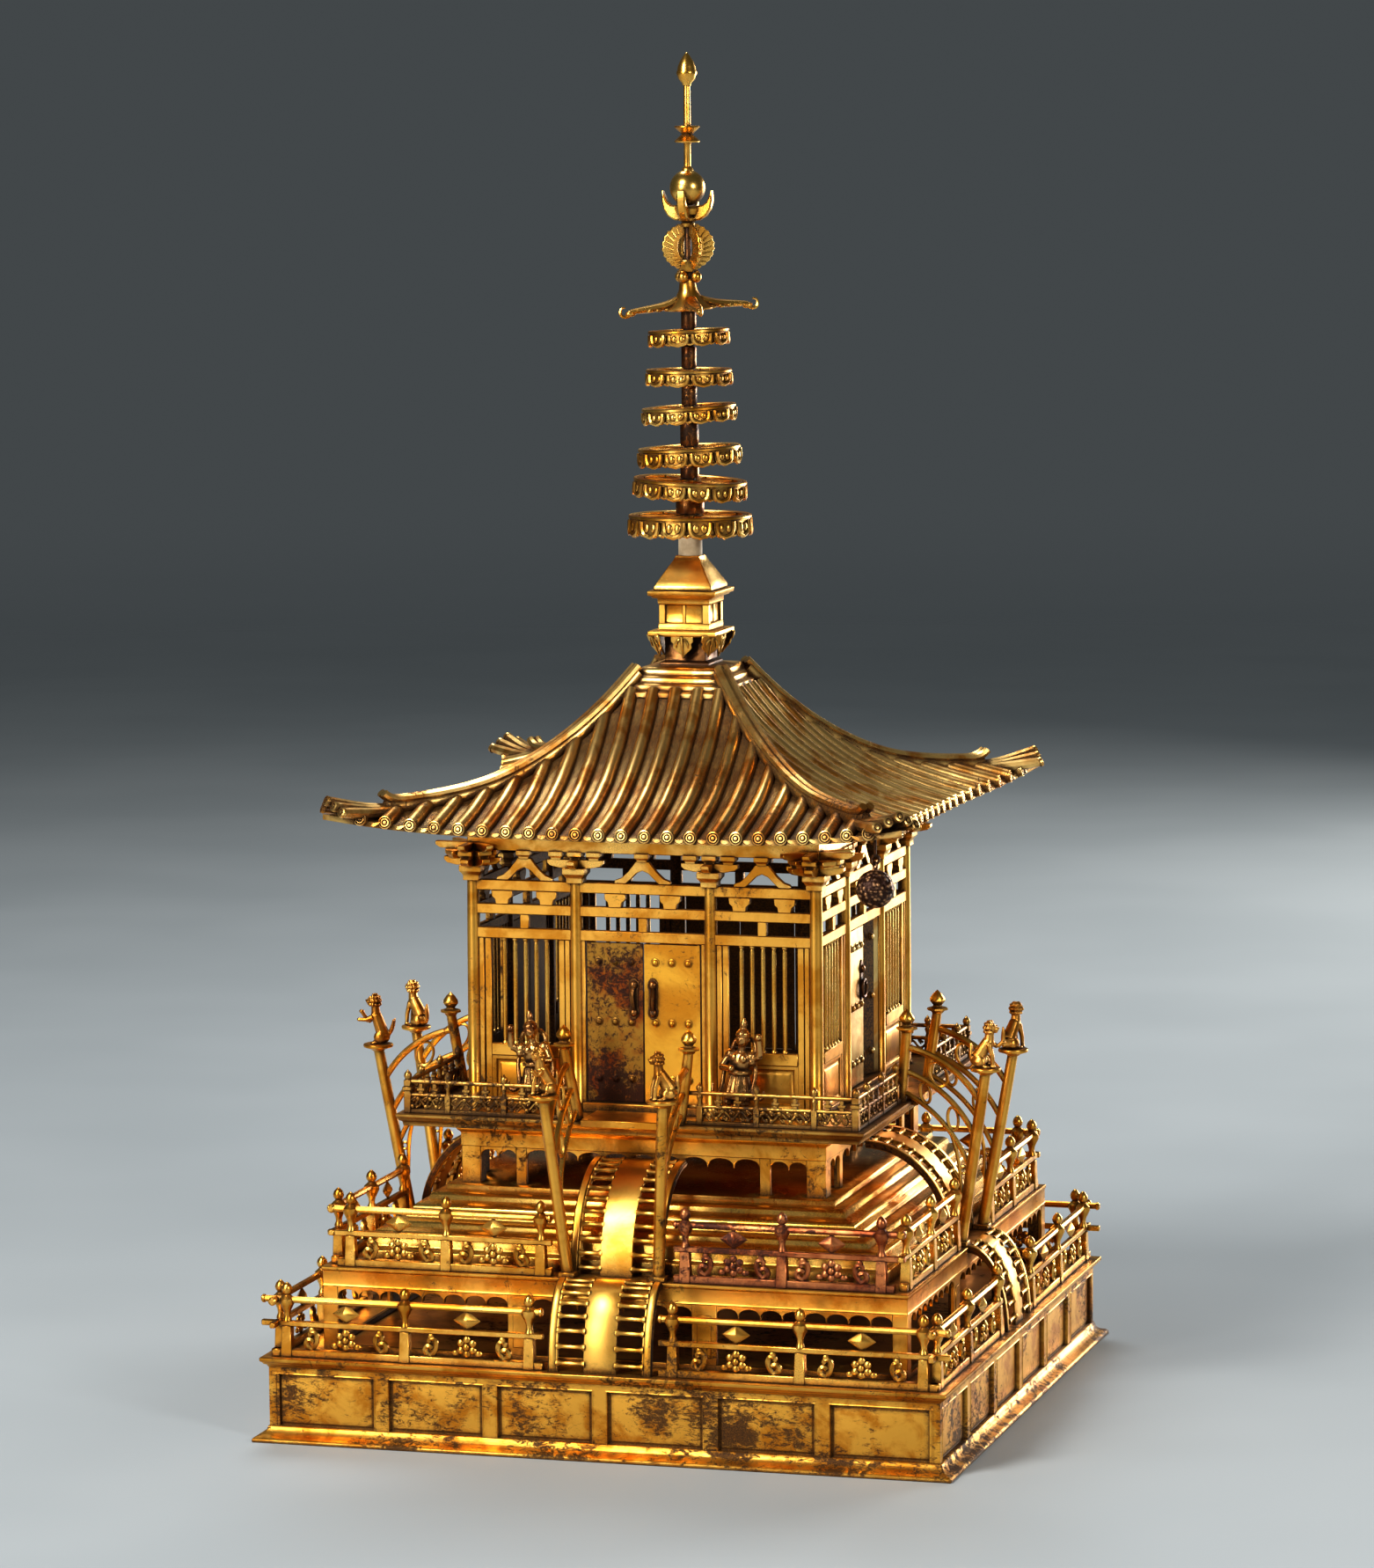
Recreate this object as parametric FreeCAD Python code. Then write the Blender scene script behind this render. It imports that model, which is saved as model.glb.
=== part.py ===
import FreeCAD, Part

import math
import os

# A gilt bronze reliquary shrine: a square hall with a tiled roof and a tall ringed finial,
# standing on a plinth, a terrace, a stepped podium and an arcade, with a small bridge and
# a railed stair on each of its four sides. Millimetres, +Z up, origin at the middle of the
# underside of the foot rim, front towards -Y.
#
# h always means the distance of a face from the middle of the shrine, measured square to
# one side, so every side is drawn once as the front (y = -h) and turned three times.

V = FreeCAD.Vector
UP = V(0, 0, 1)
ORIGIN = V(0, 0, 0)

# ---- plinth
FOOT_H = 200.0
FOOT_EDGE = 3.0
FOOT_TOP = 6.0
PLINTH_H = 192.0
PLINTH_SKIN = 6.0
CORNICE_Z = 42.0
DECK_H = 196.2
DECK_Z = 47.4
DECK_SKIN = 3.0
PANELS_PER_SIDE = 6
PANEL_PITCH = 63.1
PANEL_WIDTH = 52.5
PANEL_DEPTH = 1.5
PANEL_LOW = 8.0
PANEL_HIGH = 37.0

# ---- terrace
TERRACE_H = 168.0
TERRACE_SKIN = 4.0
TERRACE_Z = 95.0
TERRACE_BAND_Z = 84.0
TERRACE_PLATE = 3.0
TERRACE_ARCH_DROP = 10.0
TERRACE_CORNER = 8.5
TERRACE_PIER = (46.0, 60.0)
TERRACE_SILL = 3.0

# ---- railings: places of the posts along a side, and where its rails start and end
LOWER_RAIL_LINE = 188.0
LOWER_POSTS = (41.0, 113.0, 182.0)
LOWER_RAIL_SPAN = (33.0, 197.0)
UPPER_RAIL_LINE = 163.5
UPPER_POSTS = (41.5, 96.5, 152.5)
UPPER_RAIL_SPAN = (35.0, 167.0)
POST_SIDE = 5.0
SILL_RISE = 4.3
MID_RAIL_RISE = 17.0
MID_RAIL_SIDE = 3.0
TOP_RAIL_RISE = 32.0
TOP_RAIL_R = 1.8
BUD_RISE = 42.0

# ---- bridges: half width, run out from the wall, rise
LOWER_BRIDGE = (29.0, 23.0, TERRACE_Z - DECK_Z)
UPPER_BRIDGE = (26.0, 50.0, 57.0)
UPPER_BRIDGE_H = 108.0
BRIDGE_STRIP = 8.2
BRIDGE_STRINGER = 4.0
BRIDGE_SKIN = 2.6
LOWER_RUNGS = 7
UPPER_RUNGS = 10

# ---- stepped podium and arcade
PODIUM_STEPS = ((150.0, 95.0), (150.0, 102.5), (148.0, 103.5), (145.0, 112.5), (137.0, 116.5),
                (130.0, 120.0), (125.0, 125.0), (118.0, 130.0), (112.0, 131.5), (112.0, 134.0))
PODIUM_INSIDE = ((106.0, 134.0), (106.0, 128.0), (138.0, 103.0), (138.0, 95.0))
PODIUM_Z = 134.0
PODIUM_PLATE = 3.0
ARCADE_H = 106.0
ARCADE_SKIN = 4.0
ARCADE_BAND_Z = 155.0
ARCADE_PIER = (68.0, 74.0)
ARCADE_CORNER = 11.0
ARCADE_ARCH_DROP = 7.5

# ---- balcony
BALCONY_H = 135.3
BALCONY_LOW = 169.7
BALCONY_Z = 176.8
BALCONY_EDGE = 2.4
BALCONY_RAIL_LINE = 129.5
BALCONY_POSTS = (40.5, 73.0, 106.0)
BALCONY_SPAN = (33.0, 127.9)
BALCONY_POST_SIDE = 3.2
BALCONY_SILL_RISE = 2.2
BALCONY_MID_RISE = 10.2
BALCONY_TOP_RISE = 17.7
BALCONY_RAIL_R = 1.2
BALCONY_BUD_RISE = 24.0
LANDING_HALF = 26.0
LANDING_SPAN = (108.0, 139.0)
LANDING_THICK = 1.8
THRESHOLD_HALF = 35.2
THRESHOLD_SPAN = (95.5, 104.0)
THRESHOLD_Z = 182.0

# ---- stair posts and hand rails
OUTER_POST_FOOT = V(26.0, -163.4, TERRACE_Z)
OUTER_POST_HEAD = V(34.0, -180.0, 197.0)
OUTER_POST_R = 3.3
OUTER_DISC_R = 8.7
OUTER_DISC = 2.0
INNER_POST_FOOT = V(29.5, -130.0, BALCONY_Z)
INNER_POST_HEAD = V(36.0, -135.0, 219.0)
INNER_POST_R = 3.0
INNER_TIP_Z = 231.0
RAIL_HEIGHTS = ((209.0, 178.0), (195.0, 158.0), (183.0, 139.0))
HAND_RAIL_R = 1.7
HAND_RAIL_BOW = 5.5

# ---- hall
HALL_H = 99.5
INNER_COLUMN = 39.0
COLUMN_R = 3.7
COLUMN_TOP = 309.0
BEAM_SKIN = 4.0
BEAMS = ((300.0, 306.0), (286.7, 292.5), (273.0, 279.0))
WINDOW_LOW = 213.4
WINDOW_RAIL = 6.9
WINDOW_MIDDLE = 69.0
WINDOW_BARS = 5
WINDOW_BAR_PITCH = 6.2
WINDOW_BAR_R = 1.3
STILES = ((42.9, 45.4), (46.0, 49.4), (89.0, 92.6), (93.2, 95.6))
STILE_SKIN = 3.0
PANEL_SKIN = 1.6
PANEL_SILL = 3.0

# ---- doors
LEAF_PIVOT = 32.0
LEAF_OUTER = 33.0
LEAF_GAP = 0.25
LEAF_THICK = 2.0
LEAF_LOW = 182.6
LEAF_HIGH = 272.4
PIVOT_R = 1.0
PIVOT_CLEARANCE = 0.05
PIVOT_DEPTH = 1.8
STUD_ROWS = (196.0, 228.0, 262.0)
STUD_PLACES = (7.0, 16.5, 26.0)
STUD_R = 1.7
PULL_Z = 240.0
PULL_X = 5.5
AJAR_DEGREES = 22.0
RING_R = 5.0
RING_WIRE = 0.9
RING_PIN_R = 0.8
RING_PIN_LENGTH = 3.6
RING_GAP = 0.15

# ---- brackets under the eaves
BRACKET_Z = 306.0
CAPITAL = (309.0, 314.0, 6.0)
ARM_BLOCK = (318.5, 322.5, 4.0)
ARM_HALF = 15.0
ARM_THICK = 4.6
PURLIN = (326.5, 331.0)
PURLIN_H = 102.0
PURLIN_SKIN = 5.0

# ---- roof
ROOF_TOP_H = 22.0
ROOF_TOP_Z = 419.0
ROOF_BASE_Z = 322.0
ROOF_SWEEP = 63.0
EAVE_MIDDLE = 140.0
EAVE_FLARE = 25.0
EAVE_FLARE_POWER = 3.4
LIFT_START = 90.0
LIFT_SLOPE = 0.22
LIFT_POWER = 3.0
ROOF_SKIN = 3.0
TILE_PITCH = 13.2
TILES_EACH_WAY = 11
TILE_WIDTH = 6.4
TILE_RISE = 3.4
TILE_TOP_H = 30.0
TILE_END_R = 4.2
HIP_WIDTH = 9.0
HIP_RISE = 7.5
HIP_END = 136.0

# ---- finial
PEDESTAL_TIERS = ((30.0, 405.0, 414.5), (26.0, 414.5, 419.0), (21.5, 419.0, 424.0), (13.0, 424.0, 436.5),
                  (19.6, 436.5, 439.4), (15.1, 439.4, 443.5), (12.6, 443.5, 454.3), (15.0, 454.3, 457.5),
                  (17.4, 457.5, 459.5), (19.5, 459.5, 462.5))
LEAF_SKIN = 1.2
DOME_SECTIONS = ((16.6, 462.5), (16.4, 467.0), (14.6, 472.5), (11.0, 477.5), (7.4, 481.5))
MAST_R = 3.2
MAST_FOOT = 481.5
MAST_TOP = 671.0
PALE_SLEEVE_R = 6.8
# each wheel: outer radius, underside, top
WHEELS = ((35.1, 492.3, 504.8), (32.3, 513.8, 524.8), (29.2, 532.3, 543.3),
          (26.9, 556.8, 566.3), (24.5, 577.7, 587.2), (23.0, 600.1, 609.6))
SLEEVE_RADII = (8.3, 5.5, 5.4, 4.5, 4.4, 4.4)
WHEEL_RIM = 5.0
WHEEL_RIM_THICK = 2.0
WHEEL_SKIRT = 1.4
WHEEL_HUB = 6.4
WHEEL_SPOKES = 8
WHEEL_SPOKE_WIDTH = 2.6
WHEEL_CLEARANCE = 0.06
WHEEL_END_GAP = 0.4
CANOPY = (618.0, 637.4)
CANOPY_ARM = 40.0
CANOPY_TURN = 26.0
KNOB_R = 3.2
KNOB_TURN = -17.0
FLAME = (642.6, 670.0)
FLAME_R = 16.4
FLAME_TURN = 42.0
FLAME_SKIN = 1.4
CUP = (671.0, 677.5)
CUP_R = 7.5
CLAW_TIP = (14.0, 687.0)
CLAW_TURN = 0.0
BALL_Z = 689.4
BALL_R = 10.1
ROD_R = 2.0
ROD_TOP = 747.0
COLLAR = (715.0, 724.0)
COLLAR_R = 7.3
JEWEL_TOP = 765.6
JEWEL_R = 5.7

# ---- hanging bell
BELL = V(145.0, -145.0, 313.6)
BELL_R = 10.5
BELL_HOOK_Z = 329.0


def box(x0, x1, y0, y1, z0, z1):
    """A box between two corners."""
    return Part.makeBox(x1 - x0, y1 - y0, z1 - z0, V(x0, y0, z0))


def rod(radius, start, end):
    """A round bar from start to end."""
    way = end - start
    return Part.makeCylinder(radius, way.Length, start, way)


def turned(outline, at=ORIGIN):
    """A solid of revolution about the vertical through at, from (radius, height) points."""
    points = [at + V(r, 0, z) for r, z in outline]
    face = Part.Face(Part.makePolygon(points + points[:1]))
    return face.revolve(at, UP, 360)


def prism(points, way):
    """A flat outline pushed along way."""
    return Part.Face(Part.makePolygon(list(points) + [points[0]])).extrude(way)


def moved(shape, x=0.0, y=0.0, z=0.0):
    """A copy of a shape, shifted."""
    copy = shape.copy()
    copy.translate(V(x, y, z))
    return copy


def spun(shape, degrees, about=ORIGIN):
    """A copy of a shape, turned about a vertical axis."""
    copy = shape.copy()
    copy.rotate(about, UP, degrees)
    return copy


def flipped(shape):
    """The mirror image of a shape in the plane x = 0."""
    return shape.mirror(ORIGIN, V(1, 0, 0))


def four_sides(shapes):
    """Each shape drawn on the front, repeated on the four sides."""
    return [spun(shape, quarter * 90) for quarter in range(4) for shape in shapes]


def both_ways(shapes):
    """Each shape and its mirror image."""
    return list(shapes) + [flipped(shape) for shape in shapes]


def fused(shapes):
    """One solid from shapes that touch."""
    return shapes[0].fuse(shapes[1:]).removeSplitter()


def mitred(profile):
    """A moulding along one side, cut at 45 degrees at both corners, from (h, z) points."""
    reach = max(h for h, z in profile) + 20
    bar = prism([V(-reach, -h, z) for h, z in profile], V(2 * reach, 0, 0))
    wedge = prism([V(0, 0, -1), V(-reach, -reach, -1), V(reach, -reach, -1)], V(0, 0, 900))
    return bar.common(wedge)


def slab_frame(h_out, h_in, low, high):
    """One side of a plain square frame."""
    return mitred([(h_out, low), (h_out, high), (h_in, high), (h_in, low)])


def cusped_plate(x0, x1, y0, y1, low, high, lobes):
    """A hanging plate whose lower edge is a row of round lobes with cusps between them."""
    plate = box(x0, x1, y0, y1, low, high)
    pitch = (x1 - x0) / lobes
    radius = pitch / 2 - 0.6
    for lobe in range(lobes):
        middle = x0 + pitch * (lobe + 0.5)
        plate = plate.cut(rod(radius, V(middle, y0 - 1, low), V(middle, y1 + 1, low)))
    return plate


# ---------------------------------------------------------------- plinth
def foot_rim():
    """The flared foot that the shrine stands on."""
    inner = PLINTH_H - PLINTH_SKIN
    profile = [(FOOT_H, 0), (FOOT_H, FOOT_EDGE), (PLINTH_H + 0.4, FOOT_TOP), (inner, FOOT_TOP), (inner, 0)]
    return four_sides([mitred(profile)])


def plinth_walls():
    """Four walls with sunk panels."""
    wall = slab_frame(PLINTH_H, PLINTH_H - PLINTH_SKIN, FOOT_TOP, CORNICE_Z)
    for panel in range(PANELS_PER_SIDE):
        middle = (panel - (PANELS_PER_SIDE - 1) / 2) * PANEL_PITCH
        wall = wall.cut(box(middle - PANEL_WIDTH / 2, middle + PANEL_WIDTH / 2,
                            -PLINTH_H - 1, -PLINTH_H + PANEL_DEPTH, PANEL_LOW, PANEL_HIGH))
    return four_sides([wall])


def plinth_deck():
    """The deck plate and the moulding below its edge."""
    under = DECK_Z - DECK_SKIN
    inner = PLINTH_H - PLINTH_SKIN
    profile = [(DECK_H - 1.2, under), (DECK_H - 2.4, under - 1), (PLINTH_H + 0.6, CORNICE_Z),
               (inner, CORNICE_Z), (inner, under)]
    plate = box(-DECK_H, DECK_H, -DECK_H, DECK_H, under, DECK_Z)
    return [plate] + four_sides([mitred(profile)])


# ---------------------------------------------------------------- railings
def railing_post(x, line, base):
    """A square post that turns into a waisted baluster with a bud on top."""
    half = POST_SIDE / 2
    low = box(x - half, x + half, -line - half, -line + half, base, base + MID_RAIL_RISE)
    outline = [(0, 0), (half, 0), (1.6, 6), (2.2, 9), (3.4, 13), (2.8, 15), (1.8, 18), (3.3, 20.5),
               (3.0, 22.5), (0, BUD_RISE - MID_RAIL_RISE)]
    return low.fuse(turned(outline, V(x, -line, base + MID_RAIL_RISE))).removeSplitter()


def parted(line, span, half, crosses):
    """The stretches of a rail: whole, or parted where it meets the rail that it crosses."""
    start, end = span
    return [(start, line - half), (line + half, end)] if crosses else [span]


def run_of_rails(line, span, base, crosses):
    """Sill, middle rail and round top rail of one run, to the right of the bridge."""
    rails = []
    for half, low, rise in ((POST_SIDE / 2 - 0.3, base, SILL_RISE),
                            (MID_RAIL_SIDE / 2, base + MID_RAIL_RISE, MID_RAIL_SIDE)):
        for start, end in parted(line, span, half, crosses):
            rails.append(box(start, end, -line - half, -line + half, low, low + rise))
    height = base + TOP_RAIL_RISE
    for start, end in parted(line, span, TOP_RAIL_R, crosses):
        rails.append(rod(TOP_RAIL_R, V(start, -line, height), V(end, -line, height)))
    return rails


def railing_rails(line, span, base):
    """All the rails at one level: the side runs are parted where they cross front and back."""
    along = both_ways(run_of_rails(line, span, base, False))
    across = both_ways(run_of_rails(line, span, base, True))
    return [spun(rail, turn) for turn in (0, 180) for rail in along] + [
        spun(rail, turn) for turn in (90, 270) for rail in across]


def railing_posts(line, places, base):
    """All the posts at one level."""
    return four_sides(both_ways([railing_post(x, line, base) for x in places]))


def lozenge(x, line, low, high, half_width):
    """A faceted diamond that stands between two rails."""
    middle = (low + high) / 2
    outline = [V(x - half_width, -line, middle), V(x, -line, high), V(x + half_width, -line, middle),
               V(x, -line, low)]
    return moved(prism(outline, V(0, 3, 0)), y=-1.5)


def railing_ornaments():
    """Diamonds above the middle rail and flower bosses below it, at both railings."""
    shapes = []
    for line, places, base in ((LOWER_RAIL_LINE, LOWER_POSTS, DECK_Z),
                               (UPPER_RAIL_LINE, UPPER_POSTS, TERRACE_Z)):
        for near, far in zip(places, places[1:]):
            middle = (near + far) / 2
            low = base + MID_RAIL_RISE + MID_RAIL_SIDE
            shapes.append(lozenge(middle, line, low, base + TOP_RAIL_RISE - TOP_RAIL_R, 7.5))
            boss = V(middle, -line - 1.5, base + (SILL_RISE + MID_RAIL_RISE) / 2)
            shapes.append(rod((MID_RAIL_RISE - SILL_RISE) / 2 - 0.2, boss, boss + V(0, 3, 0)))
    return four_sides(both_ways(shapes))


# ---------------------------------------------------------------- bridges
def arch_point(run, rise, top_h, foot_z, angle):
    """A point of the bridge's quarter ellipse; angle 0 at the foot, 90 at the top."""
    turn = math.radians(angle)
    return V(0, -top_h - run * math.cos(turn), foot_z + rise * math.sin(turn))


def arch_band(run, rise, top_h, foot_z, thick, x0, x1):
    """A curved band of the bridge between x0 and x1."""
    edges = []
    for shrink in (0, thick):
        curve = Part.BSplineCurve()
        points = [arch_point(run - shrink, rise - shrink, top_h, foot_z, 15 * step) for step in range(7)]
        curve.interpolate(points)
        edges.append(curve.toShape())
    outer, inner = edges
    foot = Part.makeLine(outer.valueAt(outer.FirstParameter), inner.valueAt(inner.FirstParameter))
    top = Part.makeLine(outer.valueAt(outer.LastParameter), inner.valueAt(inner.LastParameter))
    face = Part.Face(Part.Wire(Part.__sortEdges__([outer, top, inner, foot])))
    return moved(face.extrude(V(x1 - x0, 0, 0)), x=x0)


def bridge(size, top_h, foot_z, rungs):
    """A bridge with a solid middle strip, two stringers and open rungs between them."""
    half, run, rise = size
    slab = arch_band(run, rise, top_h, foot_z, BRIDGE_SKIN, -half, half)
    bay = 90.0 / (rungs + 1)
    for window in range(rungs + 1):
        start, end = bay * (window + 0.25), bay * (window + 0.9)
        sector = [V(0, -top_h, foot_z), arch_point(3 * run, 3 * rise, top_h, foot_z, start),
                  arch_point(3 * run, 3 * rise, top_h, foot_z, end)]
        clear = half - BRIDGE_STRINGER - BRIDGE_STRIP
        cutter = prism([p + V(BRIDGE_STRIP, 0, 0) for p in sector], V(clear, 0, 0))
        slab = slab.cut(cutter).cut(flipped(cutter))
    return four_sides([slab])


# ---------------------------------------------------------------- terrace and podium
def terrace_walls():
    """Corner posts, piers, sill strips and cusped arch plates; the openings between stay clear."""
    out, inner = -TERRACE_H, -TERRACE_H + TERRACE_SKIN
    low = DECK_Z + TERRACE_SILL
    arch_low = TERRACE_BAND_Z - TERRACE_ARCH_DROP
    near, far = TERRACE_PIER
    edge = TERRACE_H - TERRACE_CORNER
    corner = box(edge, TERRACE_H, out, -edge, DECK_Z, TERRACE_BAND_Z)
    sill = box(-edge, edge, out, inner, DECK_Z, low)
    middle = cusped_plate(-near, near, out, inner, arch_low, TERRACE_BAND_Z, 6)
    side = [box(near, far, out, inner, low, TERRACE_BAND_Z),
            cusped_plate(far, edge, out, inner, arch_low, TERRACE_BAND_Z, 6)]
    return four_sides([corner, sill, middle] + both_ways(side))


def terrace_top():
    """The terrace plate and the band below its edge."""
    under = TERRACE_Z - TERRACE_PLATE
    band = slab_frame(TERRACE_H, TERRACE_H - TERRACE_SKIN, TERRACE_BAND_Z, under)
    return [box(-TERRACE_H, TERRACE_H, -TERRACE_H, TERRACE_H, under, TERRACE_Z)] + four_sides([band])


def stepped_podium():
    """Four stepped and curved mouldings, closed by a plate."""
    inner = PODIUM_INSIDE[0][0]
    plate = box(-inner, inner, -inner, inner, PODIUM_Z - PODIUM_PLATE, PODIUM_Z)
    return [plate] + four_sides([mitred(list(PODIUM_STEPS) + list(PODIUM_INSIDE))])


def arcade_walls():
    """Piers and cusped arches that carry the balcony."""
    out, inner = -ARCADE_H, -ARCADE_H + ARCADE_SKIN
    near, far = ARCADE_PIER
    edge = ARCADE_H - ARCADE_CORNER
    arch_low = ARCADE_BAND_Z - ARCADE_ARCH_DROP
    corner = box(edge, ARCADE_H, out, -edge, PODIUM_Z, ARCADE_BAND_Z)
    middle = cusped_plate(-near, near, out, inner, arch_low, ARCADE_BAND_Z, 10)
    side = [box(near, far, out, inner, PODIUM_Z, ARCADE_BAND_Z),
            cusped_plate(far, edge, out, inner, arch_low, ARCADE_BAND_Z, 2)]
    band = slab_frame(ARCADE_H, ARCADE_H - ARCADE_SKIN, ARCADE_BAND_Z, BALCONY_LOW)
    return four_sides([corner, middle, band] + both_ways(side))


# ---------------------------------------------------------------- balcony
def balcony_floor():
    """The balcony plate with its stepped edge."""
    small = BALCONY_H - 3
    upper = BALCONY_Z - BALCONY_EDGE
    plate = box(-BALCONY_H, BALCONY_H, -BALCONY_H, BALCONY_H, upper, BALCONY_Z)
    return [plate.fuse(box(-small, small, -small, small, BALCONY_LOW, upper)).removeSplitter()]


def balcony_posts():
    """Small posts with buds, and one corner post at each corner."""
    half = BALCONY_POST_SIDE / 2

    def post(x, line):
        low = box(x - half, x + half, -line - half, -line + half, BALCONY_Z, BALCONY_Z + BALCONY_TOP_RISE)
        bud = turned([(0, 0), (1.2, 0), (2.2, 2.6), (1.8, 4), (0, BALCONY_BUD_RISE - BALCONY_TOP_RISE)],
                     V(x, -line, BALCONY_Z + BALCONY_TOP_RISE))
        return low.fuse(bud).removeSplitter()

    along = both_ways([post(x, BALCONY_RAIL_LINE) for x in BALCONY_POSTS])
    return four_sides(along + [post(BALCONY_RAIL_LINE, BALCONY_RAIL_LINE)])


def balcony_rails():
    """Sill, middle and top rails between the balcony's posts."""
    start, end = BALCONY_SPAN
    line = BALCONY_RAIL_LINE
    sill = box(start, end, -line - 1.4, -line + 1.4, BALCONY_Z, BALCONY_Z + BALCONY_SILL_RISE)
    bars = [rod(BALCONY_RAIL_R, V(start, -line, BALCONY_Z + rise), V(end, -line, BALCONY_Z + rise))
            for rise in (BALCONY_MID_RISE, BALCONY_TOP_RISE)]
    return four_sides(both_ways([sill] + bars))


def balcony_panels():
    """Pierced scroll panels between the sill and the middle rail, as thin plates."""
    stops = (BALCONY_SPAN[0],) + BALCONY_POSTS + (BALCONY_SPAN[1],)
    clear = BALCONY_POST_SIDE / 2 + 0.3
    line = BALCONY_RAIL_LINE
    low, high = BALCONY_Z + BALCONY_SILL_RISE, BALCONY_Z + BALCONY_MID_RISE - BALCONY_RAIL_R
    plates = [box(near + clear, far - clear, -line - 0.6, -line + 0.6, low, high)
              for near, far in zip(stops[1:], stops[2:])]
    return four_sides(both_ways(plates))


def landings():
    """The landing plate at the head of each stair and the door's threshold."""
    near, far = LANDING_SPAN
    plate = box(-LANDING_HALF, LANDING_HALF, -far, -near, BALCONY_Z, BALCONY_Z + LANDING_THICK)
    start, end = THRESHOLD_SPAN
    threshold = box(-THRESHOLD_HALF, THRESHOLD_HALF, -end, -start, BALCONY_Z, THRESHOLD_Z)
    for side in (-1, 1):
        socket = V(side * LEAF_PIVOT, -HALL_H, THRESHOLD_Z - PIVOT_DEPTH)
        threshold = threshold.cut(rod(PIVOT_R + PIVOT_CLEARANCE, socket, socket + V(0, 0, PIVOT_DEPTH + 1)))
    return four_sides([plate, threshold])


# ---------------------------------------------------------------- stairs
def leaning_post(radius, foot, head):
    """An eight-sided post whose foot and head are level."""
    corners = [foot + V(radius * math.cos(a), radius * math.sin(a), 0)
               for a in (math.radians(45 * k + 22.5) for k in range(8))]
    return prism(corners, head - foot)


def outer_stair_posts():
    """Tall leaning posts, each with a disc on top."""
    top = Part.makeCylinder(OUTER_DISC_R, OUTER_DISC, OUTER_POST_HEAD)
    post = leaning_post(OUTER_POST_R, OUTER_POST_FOOT, OUTER_POST_HEAD).fuse(top).removeSplitter()
    return four_sides(both_ways([post]))


def inner_stair_posts():
    """Short leaning posts on the balcony, with a collar and a faceted bud."""
    tip = INNER_TIP_Z - INNER_POST_HEAD.z
    bud = [(0, 0), (6.2, 0), (6.2, 1.4), (2.6, 2.4), (4.6, 5.2), (4.4, 7.0), (0, tip)]
    head = turned(bud, INNER_POST_HEAD)
    post = leaning_post(INNER_POST_R, INNER_POST_FOOT, INNER_POST_HEAD).fuse(head).removeSplitter()
    return four_sides(both_ways([post]))


def on_post(foot, head, z):
    """The point of a leaning post's axis at height z."""
    return foot + (head - foot) * ((z - foot.z) / (head.z - foot.z))


def stair_handrails():
    """Three bowed rails on each side of a stair, from the inner post to the outer one."""
    rails = []
    for inner_z, outer_z in RAIL_HEIGHTS:
        start = on_post(INNER_POST_FOOT, INNER_POST_HEAD, inner_z)
        end = on_post(OUTER_POST_FOOT, OUTER_POST_HEAD, outer_z)
        middle = (start + end) * 0.5 + V(0, -0.6 * HAND_RAIL_BOW, 0.8 * HAND_RAIL_BOW)
        path = Part.Wire([Part.Arc(start, middle, end).toShape()])
        way = path.Edges[0].tangentAt(path.Edges[0].FirstParameter)
        ring = Part.Wire([Part.makeCircle(HAND_RAIL_R, start, way)])
        rails.append(path.makePipeShell([ring], True, False))
    return four_sides(both_ways(rails))


def post_beasts():
    """A small seated beast on each outer post, in plain masses."""
    seat = OUTER_POST_HEAD + V(0, 0, OUTER_DISC)
    body = turned([(0, 0), (6.4, 0), (6.2, 7), (4.2, 13), (2.4, 17), (0, 17)], seat)
    head = Part.makeSphere(5.0, seat + V(0, -1.5, 20.5))
    return four_sides(both_ways([body.fuse(head)]))


def guardians():
    """Two standing guardian figures, in plain masses."""
    def figure(x):
        foot = V(x, -115.0, BALCONY_Z)
        outline = [(0, 0), (8.5, 0), (7.0, 14), (5.4, 26), (8.0, 36), (7.0, 43), (2.2, 47), (0, 47)]
        robe = turned(outline, foot)
        return robe.fuse(Part.makeSphere(5.0, foot + V(0, 0, 51)))
    return [figure(-56.0), figure(56.0)]


# ---------------------------------------------------------------- hall
def hall_columns():
    """Twelve round columns."""
    places = [(x, -HALL_H) for x in (-INNER_COLUMN, INNER_COLUMN, HALL_H)]
    return four_sides([rod(COLUMN_R, V(x, y, BALCONY_Z), V(x, y, COLUMN_TOP)) for x, y in places])


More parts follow.
